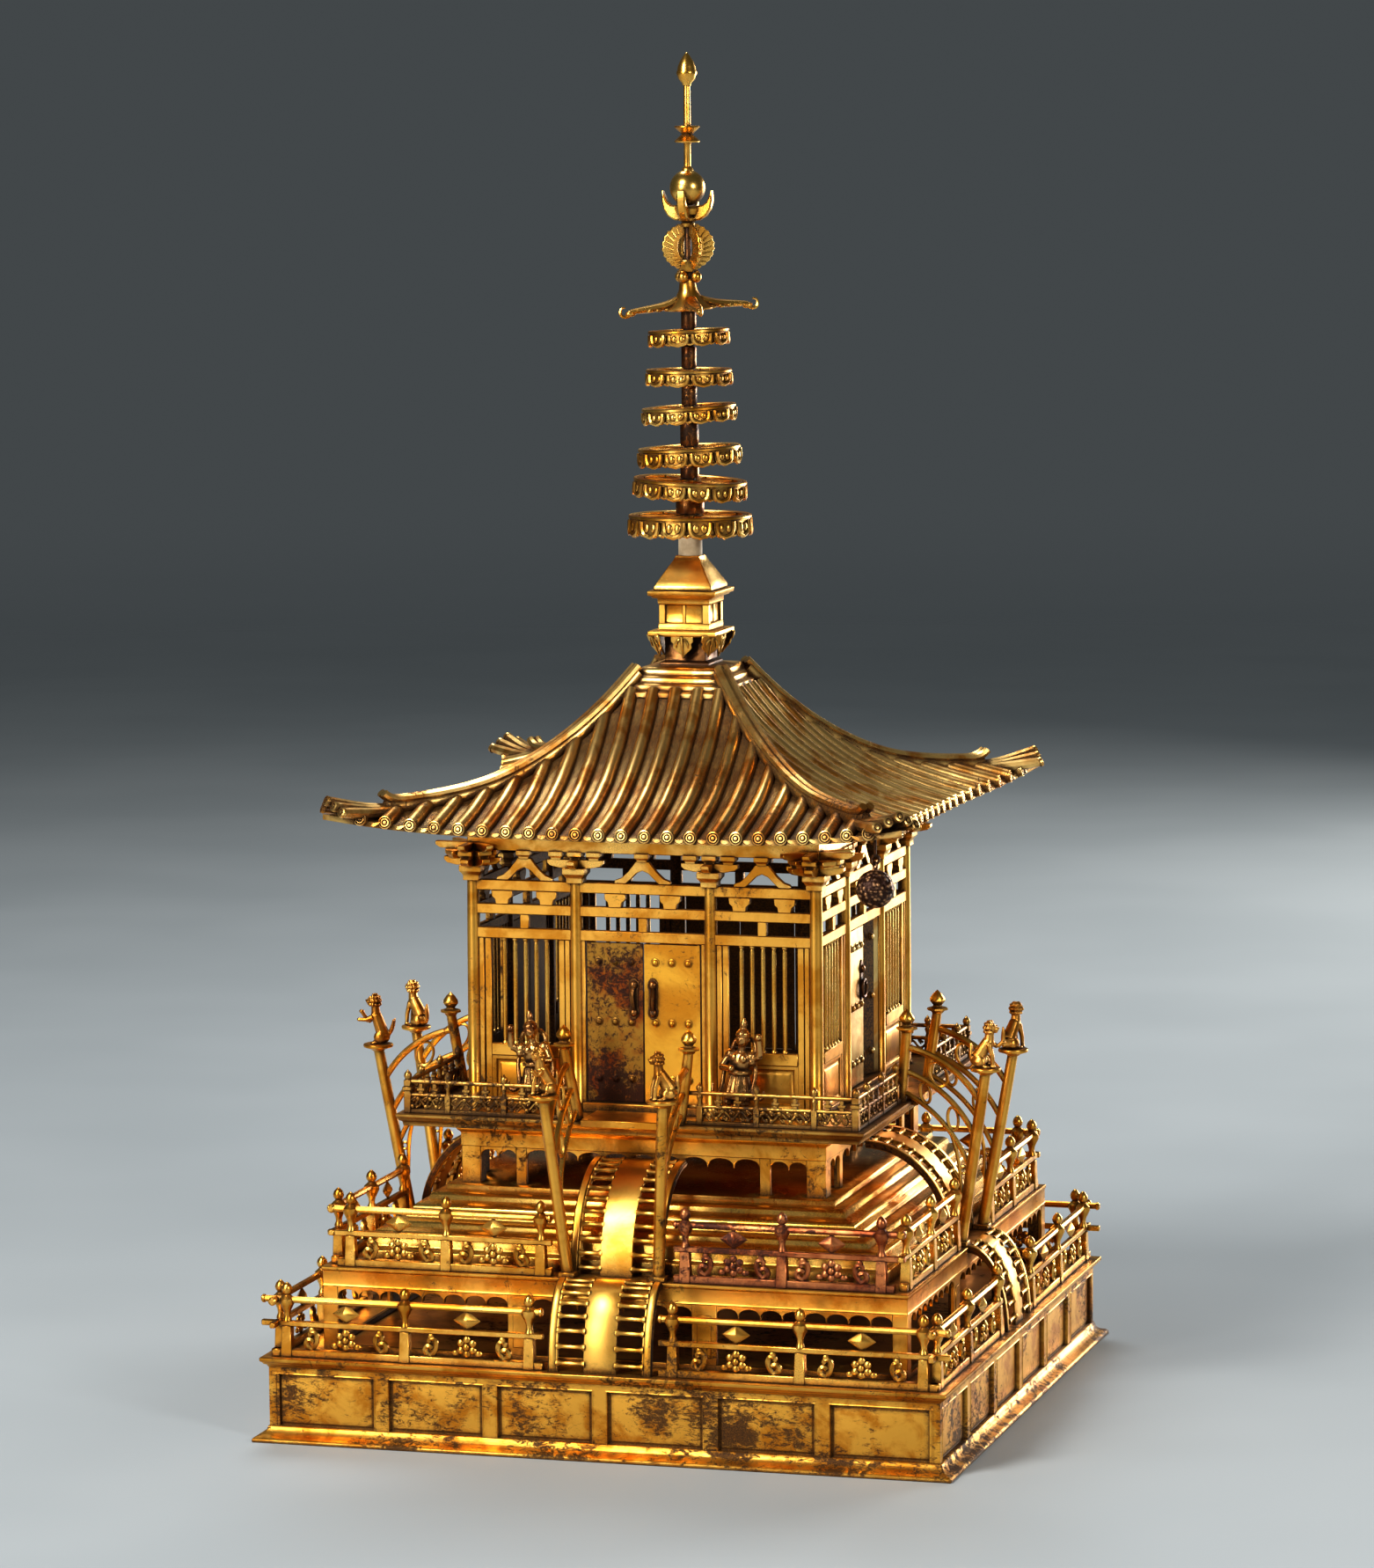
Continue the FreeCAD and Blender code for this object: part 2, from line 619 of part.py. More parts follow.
def hall_beams():
    """Three tie beams on each side with the blocks and struts between them."""
    half = BEAM_SKIN / 2
    pieces = []
    for low, high in BEAMS:
        front = box(-HALL_H, HALL_H, -HALL_H - half, -HALL_H + half, low, high)
        side = box(-HALL_H + half, HALL_H - half, -HALL_H - half, -HALL_H + half, low, high)
        if low == BEAMS[-1][0]:
            for x in (-LEAF_PIVOT, LEAF_PIVOT):
                mouth, end = V(x, -HALL_H, low - 1), V(x, -HALL_H, low + PIVOT_DEPTH)
                hole = rod(PIVOT_R + PIVOT_CLEARANCE, mouth, end)
                front, side = front.cut(hole), side.cut(hole)
        pieces += [front, spun(front, 180), spun(side, 90), spun(side, 270)]
    blocks = []
    low, high = BEAMS[1][1], BEAMS[0][0]
    for x in (-82.0, -56.0, -16.0, 16.0, 56.0, 82.0):
        outline = [V(x - 4, -HALL_H - 2.4, low), V(x + 4, -HALL_H - 2.4, low), V(x + 6, -HALL_H - 2.4, high),
                   V(x - 6, -HALL_H - 2.4, high)]
        blocks.append(prism(outline, V(0, 4.8, 0)))
    for x in (-69.0, 0.0, 69.0):
        blocks.append(box(x - 2.5, x + 2.5, -HALL_H - half, -HALL_H + half, BEAMS[2][1], BEAMS[1][0]))
    return pieces + four_sides(blocks)


def bay_frames():
    """Stiles, rails and closed lower panels of the side bays, and the door jambs."""
    half = STILE_SKIN / 2
    top = BEAMS[2][0]
    bars = [box(x0, x1, -HALL_H - half, -HALL_H + half, BALCONY_Z, top) for x0, x1 in STILES]
    left, right = STILES[1][1], STILES[2][0]
    bars.append(box(left, right, -HALL_H - half, -HALL_H + half, WINDOW_LOW - WINDOW_RAIL, WINDOW_LOW))
    bars.append(box(left, right, -HALL_H - half, -HALL_H + half, BALCONY_Z, BALCONY_Z + PANEL_SILL))
    jamb = box(LEAF_OUTER + 0.6, INNER_COLUMN - COLUMN_R + 0.2, -HALL_H - half, -HALL_H + half,
               THRESHOLD_Z, top)
    panel = box(left, right, -HALL_H - PANEL_SKIN / 2, -HALL_H + PANEL_SKIN / 2, BALCONY_Z + PANEL_SILL,
                WINDOW_LOW - WINDOW_RAIL)
    return four_sides(both_ways(bars + [jamb, panel]))


def window_bars():
    """Round bars in the window of each side bay."""
    bars = []
    for bar in range(WINDOW_BARS):
        x = WINDOW_MIDDLE + (bar - (WINDOW_BARS - 1) / 2) * WINDOW_BAR_PITCH
        bars.append(rod(WINDOW_BAR_R, V(x, -HALL_H, WINDOW_LOW), V(x, -HALL_H, BEAMS[2][0])))
    return four_sides(both_ways(bars))


# ---------------------------------------------------------------- doors
def door_leaf():
    """The right-hand leaf of the front door, closed, with its two pivots, studs and pull."""
    half = LEAF_THICK / 2
    leaf = box(LEAF_GAP, LEAF_OUTER, -HALL_H - half, -HALL_H + half, LEAF_LOW, LEAF_HIGH)
    axis = V(LEAF_PIVOT, -HALL_H, 0)
    low_pin = rod(PIVOT_R, axis + V(0, 0, THRESHOLD_Z - PIVOT_DEPTH + 0.3), axis + V(0, 0, LEAF_LOW))
    high_pin = rod(PIVOT_R, axis + V(0, 0, LEAF_HIGH), axis + V(0, 0, BEAMS[2][0] + PIVOT_DEPTH - 0.3))
    face = -HALL_H - half
    studs = [Part.makeSphere(STUD_R, V(x, face, z)) for x in STUD_PLACES for z in STUD_ROWS]
    plate = box(PULL_X - 2.2, PULL_X + 2.2, face - 0.8, face, PULL_Z - 10, PULL_Z + 6)
    return fused([leaf, low_pin, high_pin, plate] + studs)


def door_leaves():
    """The eight leaves by name; left and right are as seen from outside that door."""
    right = door_leaf()
    left = flipped(right)
    leaves = {}
    for quarter, side in enumerate(("front", "right", "back", "left")):
        leaves[side + "_door_left_leaf"] = [spun(left, quarter * 90)]
        leaves[side + "_door_right_leaf"] = [spun(right, quarter * 90)]
    pivot = V(HALL_H, LEAF_PIVOT, 0)
    leaves["right_door_right_leaf"] = [spun(leaves["right_door_right_leaf"][0], -AJAR_DEGREES, pivot)]
    staple = V(HALL_H + LEAF_THICK / 2, -PULL_X, PULL_Z)
    pin = rod(RING_PIN_R, staple, staple + V(RING_PIN_LENGTH, 0, 0))
    leaves["right_door_left_leaf"] = [leaves["right_door_left_leaf"][0].fuse(pin).removeSplitter()]
    return leaves


def door_ring():
    """The ring that hangs on the pin of the right door's left leaf."""
    x = HALL_H + LEAF_THICK / 2 + 0.8 + RING_WIRE + 0.3
    top = PULL_Z + RING_PIN_R + RING_GAP + RING_WIRE
    return [Part.makeTorus(RING_R, RING_WIRE, V(x, -PULL_X, top - RING_R), V(1, 0, 0))]


# ---------------------------------------------------------------- brackets
def bracket_sets():
    """Capitals, arms and curved struts between the columns and the purlins, and the purlins."""
    shapes = []
    cap_low, cap_high, cap_half = CAPITAL
    block_low, block_high, block_half = ARM_BLOCK
    arm_half = ARM_THICK / 2
    for x in (-INNER_COLUMN, INNER_COLUMN):
        shapes.append(box(x - cap_half, x + cap_half, -HALL_H - cap_half, -HALL_H + cap_half,
                          cap_low, cap_high))
        shapes.append(box(x - ARM_HALF, x + ARM_HALF, -HALL_H - arm_half, -HALL_H + arm_half,
                          cap_high, block_low))
        for offset in (-ARM_HALF + block_half, 0, ARM_HALF - block_half):
            shapes.append(box(x + offset - block_half, x + offset + block_half, -HALL_H - block_half,
                              -HALL_H + block_half, block_low, block_high))
    corner = HALL_H
    shapes.append(box(corner - cap_half, corner + cap_half, -corner - cap_half, -corner + cap_half,
                      cap_low, cap_high))
    shapes.append(box(corner - block_half * 2, corner + block_half * 2, -corner - block_half * 2,
                      -corner + block_half * 2, cap_high, PURLIN[0]))
    for x in (-69.0, 0.0, 69.0):
        foot, head, rise = 13.0, 3.4, block_high - BRACKET_Z
        outline = [(-foot, 0), (-foot + 3.5, 0), (-5.5, rise * 0.45), (0, rise * 0.62), (5.5, rise * 0.45),
                   (foot - 3.5, 0), (foot, 0), (7, rise * 0.6), (head, rise), (-head, rise), (-7, rise * 0.6)]
        shapes.append(prism([V(x + px, -HALL_H - 1.5, BRACKET_Z + pz) for px, pz in outline], V(0, 3, 0)))
    purlin_in = PURLIN_H - PURLIN_SKIN
    stop = corner - 2 * block_half
    shapes.append(box(-stop, stop, -PURLIN_H, -purlin_in, block_high, PURLIN[0]))
    shapes.append(slab_frame(PURLIN_H, purlin_in, PURLIN[0], PURLIN[1]))
    return four_sides(shapes)


# ---------------------------------------------------------------- roof
def roof_line(h):
    """Height of the roof's surface in the middle of a side."""
    return ROOF_BASE_Z + (ROOF_TOP_Z - ROOF_BASE_Z) * math.exp(-(h - ROOF_TOP_H) / ROOF_SWEEP)


def roof_height(x, h):
    """Height of the roof's surface: the middle line, lifted towards the corners."""
    reach = math.log1p(math.exp((h - LIFT_START) / 6.0)) * 6.0
    return roof_line(h) + LIFT_SLOPE * reach * min(abs(x) / h, 1.0) ** LIFT_POWER


def eave(share):
    """h of the eave where x / h is share."""
    return EAVE_MIDDLE + EAVE_FLARE * abs(share) ** EAVE_FLARE_POWER


def eave_at(x):
    """h of the eave at a given x."""
    h = EAVE_MIDDLE
    for step in range(30):
        h = eave(x / h)
    return h


def roof_face(drop):
    """The curved surface of the front slope, lowered by drop."""
    rows = []
    shares = [-1 + step / 6.0 for step in range(13)]
    for share in shares:
        low = eave(share)
        row = []
        for step in range(9):
            h = ROOF_TOP_H + (low - ROOF_TOP_H) * (step / 8.0) ** 1.3
            row.append(V(share * h, -h, roof_height(share * h, h) - drop))
        rows.append(row)
    surface = Part.BSplineSurface()
    surface.interpolate(rows)
    return surface


def roof_shell():
    """Four curved slopes of even thickness that meet on the hips."""
    upper, lower = roof_face(0), roof_face(ROOF_SKIN)
    faces = [upper.toShape(), lower.toShape()]
    u0, u1, v0, v1 = upper.bounds()
    for cut in (("u", u0), ("u", u1), ("v", v0), ("v", v1)):
        edges = [(s.uIso(cut[1]) if cut[0] == "u" else s.vIso(cut[1])).toShape() for s in (upper, lower)]
        faces.append(Part.makeRuledSurface(edges[0], edges[1]))
    shell = Part.makeShell(faces)
    shell.sewShape()
    slope = Part.makeSolid(shell)
    if slope.Volume < 0:
        slope.reverse()
    return four_sides([slope])


def curved_fin(points_low, points_high, width, side):
    """A fin between two curves over the same plan line, of a given width along side."""
    edges = []
    for points in (points_low, points_high):
        curve = Part.BSplineCurve()
        curve.interpolate(points)
        edges.append(curve.toShape())
    start = Part.makeLine(points_low[0], points_high[0])
    end = Part.makeLine(points_low[-1], points_high[-1])
    face = Part.Face(Part.Wire(Part.__sortEdges__([edges[0], end, edges[1], start])))
    fin = face.extrude(side * width)
    fin.translate(side * (-width / 2))
    return fin


def roof_tiles():
    """Rows of cover tiles down each slope, each with a round end tile at the eave."""
    shapes = []
    for row in range(-TILES_EACH_WAY, TILES_EACH_WAY + 1):
        x = row * TILE_PITCH
        start, end = max(abs(x) + 6.0, TILE_TOP_H), eave_at(x) - 0.6
        stations = [start + (end - start) * step / 6.0 for step in range(7)]
        low = [V(x, -h, roof_height(x, h) - 0.4) for h in stations]
        high = [V(x, -h, roof_height(x, h) + TILE_RISE) for h in stations]
        shapes.append(curved_fin(low, high, TILE_WIDTH, V(1, 0, 0)))
        tip = V(x, -end - 0.01, roof_height(x, end) + TILE_RISE - TILE_END_R)
        shapes.append(rod(TILE_END_R, tip, tip + V(0, -1.8, 0)))
    return four_sides(shapes)


def hip_ridges():
    """The raised ridge on each hip and the upturned corner tile beyond it."""
    diagonal = math.sqrt(2)
    side = V(1, 1, 0) / diagonal
    stations = [ROOF_TOP_H + 7 + (HIP_END - ROOF_TOP_H - 7) * step / 8.0 for step in range(9)]
    low = [V(r, -r, roof_height(r, r) - 0.5) for r in stations]
    high = [V(r, -r, roof_height(r, r) + HIP_RISE) for r in stations]
    ridge = curved_fin(low, high, HIP_WIDTH, side)
    corner = EAVE_MIDDLE + EAVE_FLARE
    stations = [HIP_END + 0.5 + (corner - HIP_END - 0.5) * step / 4.0 for step in range(5)]
    low = [V(r, -r, roof_height(r, r) - 0.5) for r in stations]
    high = [V(r, -r, roof_height(r, r) + 3 + 3 * (r - HIP_END) / (corner - HIP_END)) for r in stations]
    return four_sides([ridge, curved_fin(low, high, HIP_WIDTH * 0.7, side)])


# ---------------------------------------------------------------- finial
def finial_pedestal():
    """Stepped collar, neck, mouldings and box above the roof, as one casting."""
    return [fused([box(-h, h, -h, h, low, high) for h, low, high in PEDESTAL_TIERS])]


def lotus_leaves():
    """Eight leaves that hang from the pedestal's lower plate."""
    outline = [(-6.5, 0), (6.5, 0), (4.5, -6), (0, -10), (-4.5, -6)]
    face = -PEDESTAL_TIERS[4][0]
    leaf = prism([V(x, face + z * 0.35, PEDESTAL_TIERS[4][1] + z) for x, z in outline], V(0, LEAF_SKIN, 0))
    corner = leaf.copy()
    corner.rotate(ORIGIN, UP, 45)
    shift = -PEDESTAL_TIERS[4][0] * (math.sqrt(2) - 1) * 0.72
    corner.translate(V(-shift, shift, 0) * (1 / math.sqrt(2)))
    return four_sides([leaf, corner])


def finial_dome():
    """The square dome that carries the mast."""
    wires = []
    for half, z in DOME_SECTIONS:
        corners = [V(-half, -half, z), V(half, -half, z), V(half, half, z), V(-half, half, z)]
        wires.append(Part.makePolygon(corners + corners[:1]))
    return [Part.makeLoft(wires, True, True)]


def tube(radius, low, high):
    """A sleeve that sits on the core rod."""
    return rod(radius, V(0, 0, low), V(0, 0, high)).cut(rod(MAST_R, V(0, 0, low - 1), V(0, 0, high + 1)))


def pale_sleeve():
    """The sleeve below the lowest wheel."""
    return [tube(PALE_SLEEVE_R, MAST_FOOT, WHEELS[0][1] - WHEEL_END_GAP)]


def mast():
    """The core rod that the wheels turn on, and the spacer sleeves between them."""
    core = rod(MAST_R, V(0, 0, MAST_FOOT), V(0, 0, MAST_TOP))
    lows = [top + WHEEL_END_GAP for radius, low, top in WHEELS]
    highs = [low - WHEEL_END_GAP for radius, low, top in WHEELS[1:]] + [CANOPY[0] + 3]
    return [core] + [tube(radius, low, high) for radius, low, high in zip(SLEEVE_RADII, lows, highs)]


def ring_of(outer, inner, low, high):
    """A flat ring or short tube about the mast."""
    core = rod(inner, V(0, 0, low - 1), V(0, 0, high + 1))
    return rod(outer, V(0, 0, low), V(0, 0, high)).cut(core)


def wheel(radius, low, high):
    """A wheel: flat rim, spokes and hub, with a skirt below the rim."""
    rim_low = high - WHEEL_RIM_THICK
    rim = ring_of(radius, radius - WHEEL_RIM, rim_low, high)
    skirt = ring_of(radius - 0.8, radius - 0.8 - WHEEL_SKIRT, low, rim_low)
    hub = rod(WHEEL_HUB, V(0, 0, low), V(0, 0, high))
    half = WHEEL_SPOKE_WIDTH / 2
    spoke = box(WHEEL_HUB - 1, radius - WHEEL_RIM + 1, -half, half, rim_low, high)
    spokes = [spun(spoke, k * 360.0 / WHEEL_SPOKES) for k in range(WHEEL_SPOKES)]
    bore = rod(MAST_R + WHEEL_CLEARANCE, V(0, 0, low - 1), V(0, 0, high + 1))
    return [fused([rim, skirt, hub] + spokes).cut(bore)]


def canopy():
    """A flared canopy with four drooping arms and four knobs."""
    low, high = CANOPY
    bell = turned([(MAST_R, low + 3), (13.0, low + 3), (14.0, low + 4), (8.0, low + 9), (4.8, high),
                   (MAST_R, high)])
    arms = []
    for k in range(4):
        tip = CANOPY_ARM - 6
        under = [V(10, -4.5, low + 3.2), V(tip, -2.0, low + 1), V(tip, 2.0, low + 1), V(10, 4.5, low + 3.2)]
        arm = prism(under, V(0, 0, 3))
        head = Part.makeSphere(3.0, V(CANOPY_ARM - 4, 0, low + 3.4))
        arms.append(spun(fused([arm, head]), k * 90 + CANOPY_TURN))
    knobs = [spun(Part.makeSphere(KNOB_R, V(5.4, 0, high + 1.4)), k * 90 + KNOB_TURN) for k in range(4)]
    return [fused([bell] + arms + knobs).cut(rod(MAST_R, V(0, 0, low), V(0, 0, high + 20)))]


def flame():
    """Four upright crescent vanes around the mast."""
    low, high = FLAME
    middle = (low + high) / 2
    rise = (high - low) / 2
    ring = [(12.0 * math.cos(a), rise * math.sin(a)) for a in (math.radians(-66 + 11 * k) for k in range(13))]
    inner = [(FLAME_R * 0.28 + 5.0 * math.cos(a), rise * 0.72 * math.sin(a))
             for a in (math.radians(66 - 22 * k) for k in range(7))]
    outer = [(x + (FLAME_R - 12.0), z) for x, z in ring]
    vane = prism([V(x, -FLAME_SKIN / 2, middle + z) for x, z in outer + inner], V(0, FLAME_SKIN, 0))
    return [spun(vane, k * 90 + FLAME_TURN) for k in range(4)]


def claw_cup():
    """A collar with four horn-shaped claws that hold the ball."""
    low, high = CUP
    cup = turned([(0, low), (4.0, low), (5.5, low + 2), (3.6, low + 4), (CUP_R, high), (0, high)])
    reach, tip = CLAW_TIP
    outline = [(5.0, high - 2), (reach - 2.5, high), (reach, high + 4), (reach - 0.4, tip),
               (reach - 2.6, high + 5), (9.0, high + 1.5)]
    claw = prism([V(x, -1.6, z) for x, z in outline], V(0, 3.2, 0))
    ball = Part.makeSphere(BALL_R + 0.01, V(0, 0, BALL_Z))
    claws = [spun(claw, k * 90 + CLAW_TURN) for k in range(4)]
    return [fused([cup] + claws).cut(ball)]


def finial_ball():
    """The polished ball."""
    return [Part.makeSphere(BALL_R, V(0, 0, BALL_Z))]


def spire_rod():
    """The thin rod above the ball with its double-cone collar."""
    low, high = COLLAR
    middle = (low + high) / 2
    top_of_ball = BALL_Z + BALL_R - 0.35
    outline = [(0, top_of_ball), (ROD_R, top_of_ball), (ROD_R, low), (COLLAR_R, low), (3.0, middle),
               (COLLAR_R, high), (ROD_R, high), (ROD_R, ROD_TOP), (0, ROD_TOP)]
    ball = Part.makeSphere(BALL_R + 0.01, V(0, 0, BALL_Z))
    return [turned(outline).cut(ball)]


def jewel():
    """The bud-shaped jewel at the very top."""
    return [turned([(0, ROD_TOP), (2.6, ROD_TOP), (4.9, ROD_TOP + 3.2), (JEWEL_R, ROD_TOP + 6.5),
                    (4.8, ROD_TOP + 10.5), (2.6, ROD_TOP + 14.5), (0, JEWEL_TOP)])]


# ---------------------------------------------------------------- bell
def bell_hook():
    """The hook under the front right corner of the roof."""
    top = roof_height(BELL.x, BELL.x) - ROOF_SKIN
    stem = rod(0.9, V(BELL.x, BELL.y, BELL_HOOK_Z + 2.5), V(BELL.x, BELL.y, top))
    ring = Part.makeTorus(2.6, 0.8, V(BELL.x, BELL.y, BELL_HOOK_Z + 0.4), V(1, -1, 0))
    return [stem.fuse(ring).removeSplitter()]


def corner_bell():
    """A round bell with a loop that hangs in the hook."""
    ball = Part.makeSphere(BELL_R, BELL)
    neck = rod(1.6, BELL + V(0, 0, BELL_R - 1), BELL + V(0, 0, BELL_R + 0.6))
    loop = Part.makeTorus(2.0, 0.7, V(BELL.x, BELL.y, BELL_HOOK_Z - 2.6), V(1, 1, 0))
    return [fused([ball, neck, loop])]


def build():
    """Every sub-part by node name."""
    nodes = {
        "foot_rim": foot_rim(),
        "plinth_walls": plinth_walls(),
        "plinth_deck": plinth_deck(),
        "lower_railing_posts": railing_posts(LOWER_RAIL_LINE, LOWER_POSTS, DECK_Z),
        "lower_railing_rails": railing_rails(LOWER_RAIL_LINE, LOWER_RAIL_SPAN, DECK_Z),
        "upper_railing_posts": railing_posts(UPPER_RAIL_LINE, UPPER_POSTS, TERRACE_Z),
        "upper_railing_rails": railing_rails(UPPER_RAIL_LINE, UPPER_RAIL_SPAN, TERRACE_Z),
        "railing_ornaments": railing_ornaments(),
        "lower_bridges": bridge(LOWER_BRIDGE, TERRACE_H, DECK_Z, LOWER_RUNGS),
        "upper_bridges": bridge(UPPER_BRIDGE, UPPER_BRIDGE_H, TERRACE_Z, UPPER_RUNGS),
        "terrace_walls": terrace_walls(),
        "terrace_top": terrace_top(),
        "stepped_podium": stepped_podium(),
        "arcade_walls": arcade_walls(),
        "balcony_floor": balcony_floor(),
        "balcony_posts": balcony_posts(),
        "balcony_rails": balcony_rails(),
        "balcony_panels": balcony_panels(),
        "landings": landings(),
        "outer_stair_posts": outer_stair_posts(),
        "inner_stair_posts": inner_stair_posts(),
        "stair_handrails": stair_handrails(),
        "post_beasts": post_beasts(),
        "guardians": guardians(),
        "hall_columns": hall_columns(),
        "hall_beams": hall_beams(),
        "bay_frames": bay_frames(),
        "window_bars": window_bars(),
        "bracket_sets": bracket_sets(),
        "roof_shell": roof_shell(),
        "roof_tiles": roof_tiles(),
        "hip_ridges": hip_ridges(),
        "finial_pedestal": finial_pedestal(),
        "lotus_leaves": lotus_leaves(),
        "finial_dome": finial_dome(),
        "mast": mast(),
        "pale_sleeve": pale_sleeve(),
        "canopy": canopy(),
        "flame": flame(),
        "claw_cup": claw_cup(),
        "finial_ball": finial_ball(),
        "spire_rod": spire_rod(),
        "jewel": jewel(),
        "door_ring": door_ring(),
        "bell_hook": bell_hook(),
        "corner_bell": corner_bell(),
    }
    nodes.update(door_leaves())
    for number, (radius, low, high) in enumerate(WHEELS, start=1):
        nodes["wheel_%d" % number] = wheel(radius, low, high)
    return nodes


def main():
    """Write one STEP file for each sub-part."""
    os.makedirs("parts", exist_ok=True)
    for name, shapes in build().items():
        solids = [solid for shape in shapes for solid in shape.Solids]
        bad = [solid for solid in solids if not solid.isValid() or solid.Volume <= 0]
        volume = sum(solid.Volume for solid in solids)
        print("%-24s %4d solids  %d bad  %.0f mm3" % (name, len(solids), len(bad), volume))
        Part.makeCompound(solids).exportStep("parts/%s.step" % name)


main()
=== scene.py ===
"""Gilt bronze reliquary shrine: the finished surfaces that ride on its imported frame.

Lengths in this script are millimetres; a piece is scaled to metres when it is finished. h is the
distance of a face from the mast's axis, square to one side; the front faces -Y.
"""
import logging
import math
import random
from dataclasses import dataclass, field
from enum import Enum
from typing import Any, Iterable, Sequence

import bmesh
import bpy
from mathutils import Matrix, Vector


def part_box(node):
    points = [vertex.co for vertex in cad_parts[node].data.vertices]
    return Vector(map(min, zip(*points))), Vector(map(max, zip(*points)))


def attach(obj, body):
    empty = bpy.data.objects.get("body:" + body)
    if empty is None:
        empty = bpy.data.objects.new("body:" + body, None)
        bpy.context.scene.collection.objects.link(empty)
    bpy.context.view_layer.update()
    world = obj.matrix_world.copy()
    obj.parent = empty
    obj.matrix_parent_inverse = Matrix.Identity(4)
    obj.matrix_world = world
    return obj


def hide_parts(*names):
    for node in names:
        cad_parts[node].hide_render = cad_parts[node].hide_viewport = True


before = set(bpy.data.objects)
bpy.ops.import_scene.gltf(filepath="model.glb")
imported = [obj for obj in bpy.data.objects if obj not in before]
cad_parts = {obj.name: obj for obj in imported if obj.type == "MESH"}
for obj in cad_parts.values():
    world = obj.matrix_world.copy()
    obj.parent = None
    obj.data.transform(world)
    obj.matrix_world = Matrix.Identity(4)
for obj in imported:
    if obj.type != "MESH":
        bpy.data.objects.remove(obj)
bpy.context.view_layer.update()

LOG = logging.getLogger("shrine")
MM = 0.001
TAU = 2 * math.pi
SMOOTH_BELOW = math.radians(38)
WELD = 0.0005

Point = Sequence[float]


# ------------------------------------------------------------------ places
def turn(degrees: float, axis: str = "Z") -> Matrix:
    """A turn about an axis through the origin."""
    return Matrix.Rotation(math.radians(degrees), 4, axis)


def shift(x: float = 0.0, y: float = 0.0, z: float = 0.0) -> Matrix:
    """A move."""
    return Matrix.Translation((x, y, z))


def aimed(way: Vector) -> Matrix:
    """The turn that points +Z along a direction."""
    return way.to_track_quat("Z", "Y").to_matrix().to_4x4()


def quarters(start: float = 0.0) -> list[Matrix]:
    """The four quarter turns from a first angle in degrees."""
    return [turn(90 * quarter + start) for quarter in range(4)]


def in_row(spots: Iterable[float], y: float = 0.0) -> list[Matrix]:
    """The moves to a row of places along X."""
    return [shift(x, y) for x in spots]


def oval(middle: Vector, first: Vector, second: Vector, count: int = 10) -> list[Vector]:
    """Points round an oval with two given half axes."""
    return [middle + first * math.cos(TAU * k / count) + second * math.sin(TAU * k / count)
            for k in range(count)]


FLIP = Matrix.Scale(-1, 4, Vector((1, 0, 0)))
FOUR = quarters()
HERE = Matrix.Identity(4)
BOTH = [HERE, FLIP]
EIGHT = [quarter @ side for quarter in FOUR for side in BOTH]


def corner_of(node: str, which: int) -> Vector:
    """A CAD node's low (0) or high (1) corner in millimetres."""
    return Vector(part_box(node)[which]) / MM


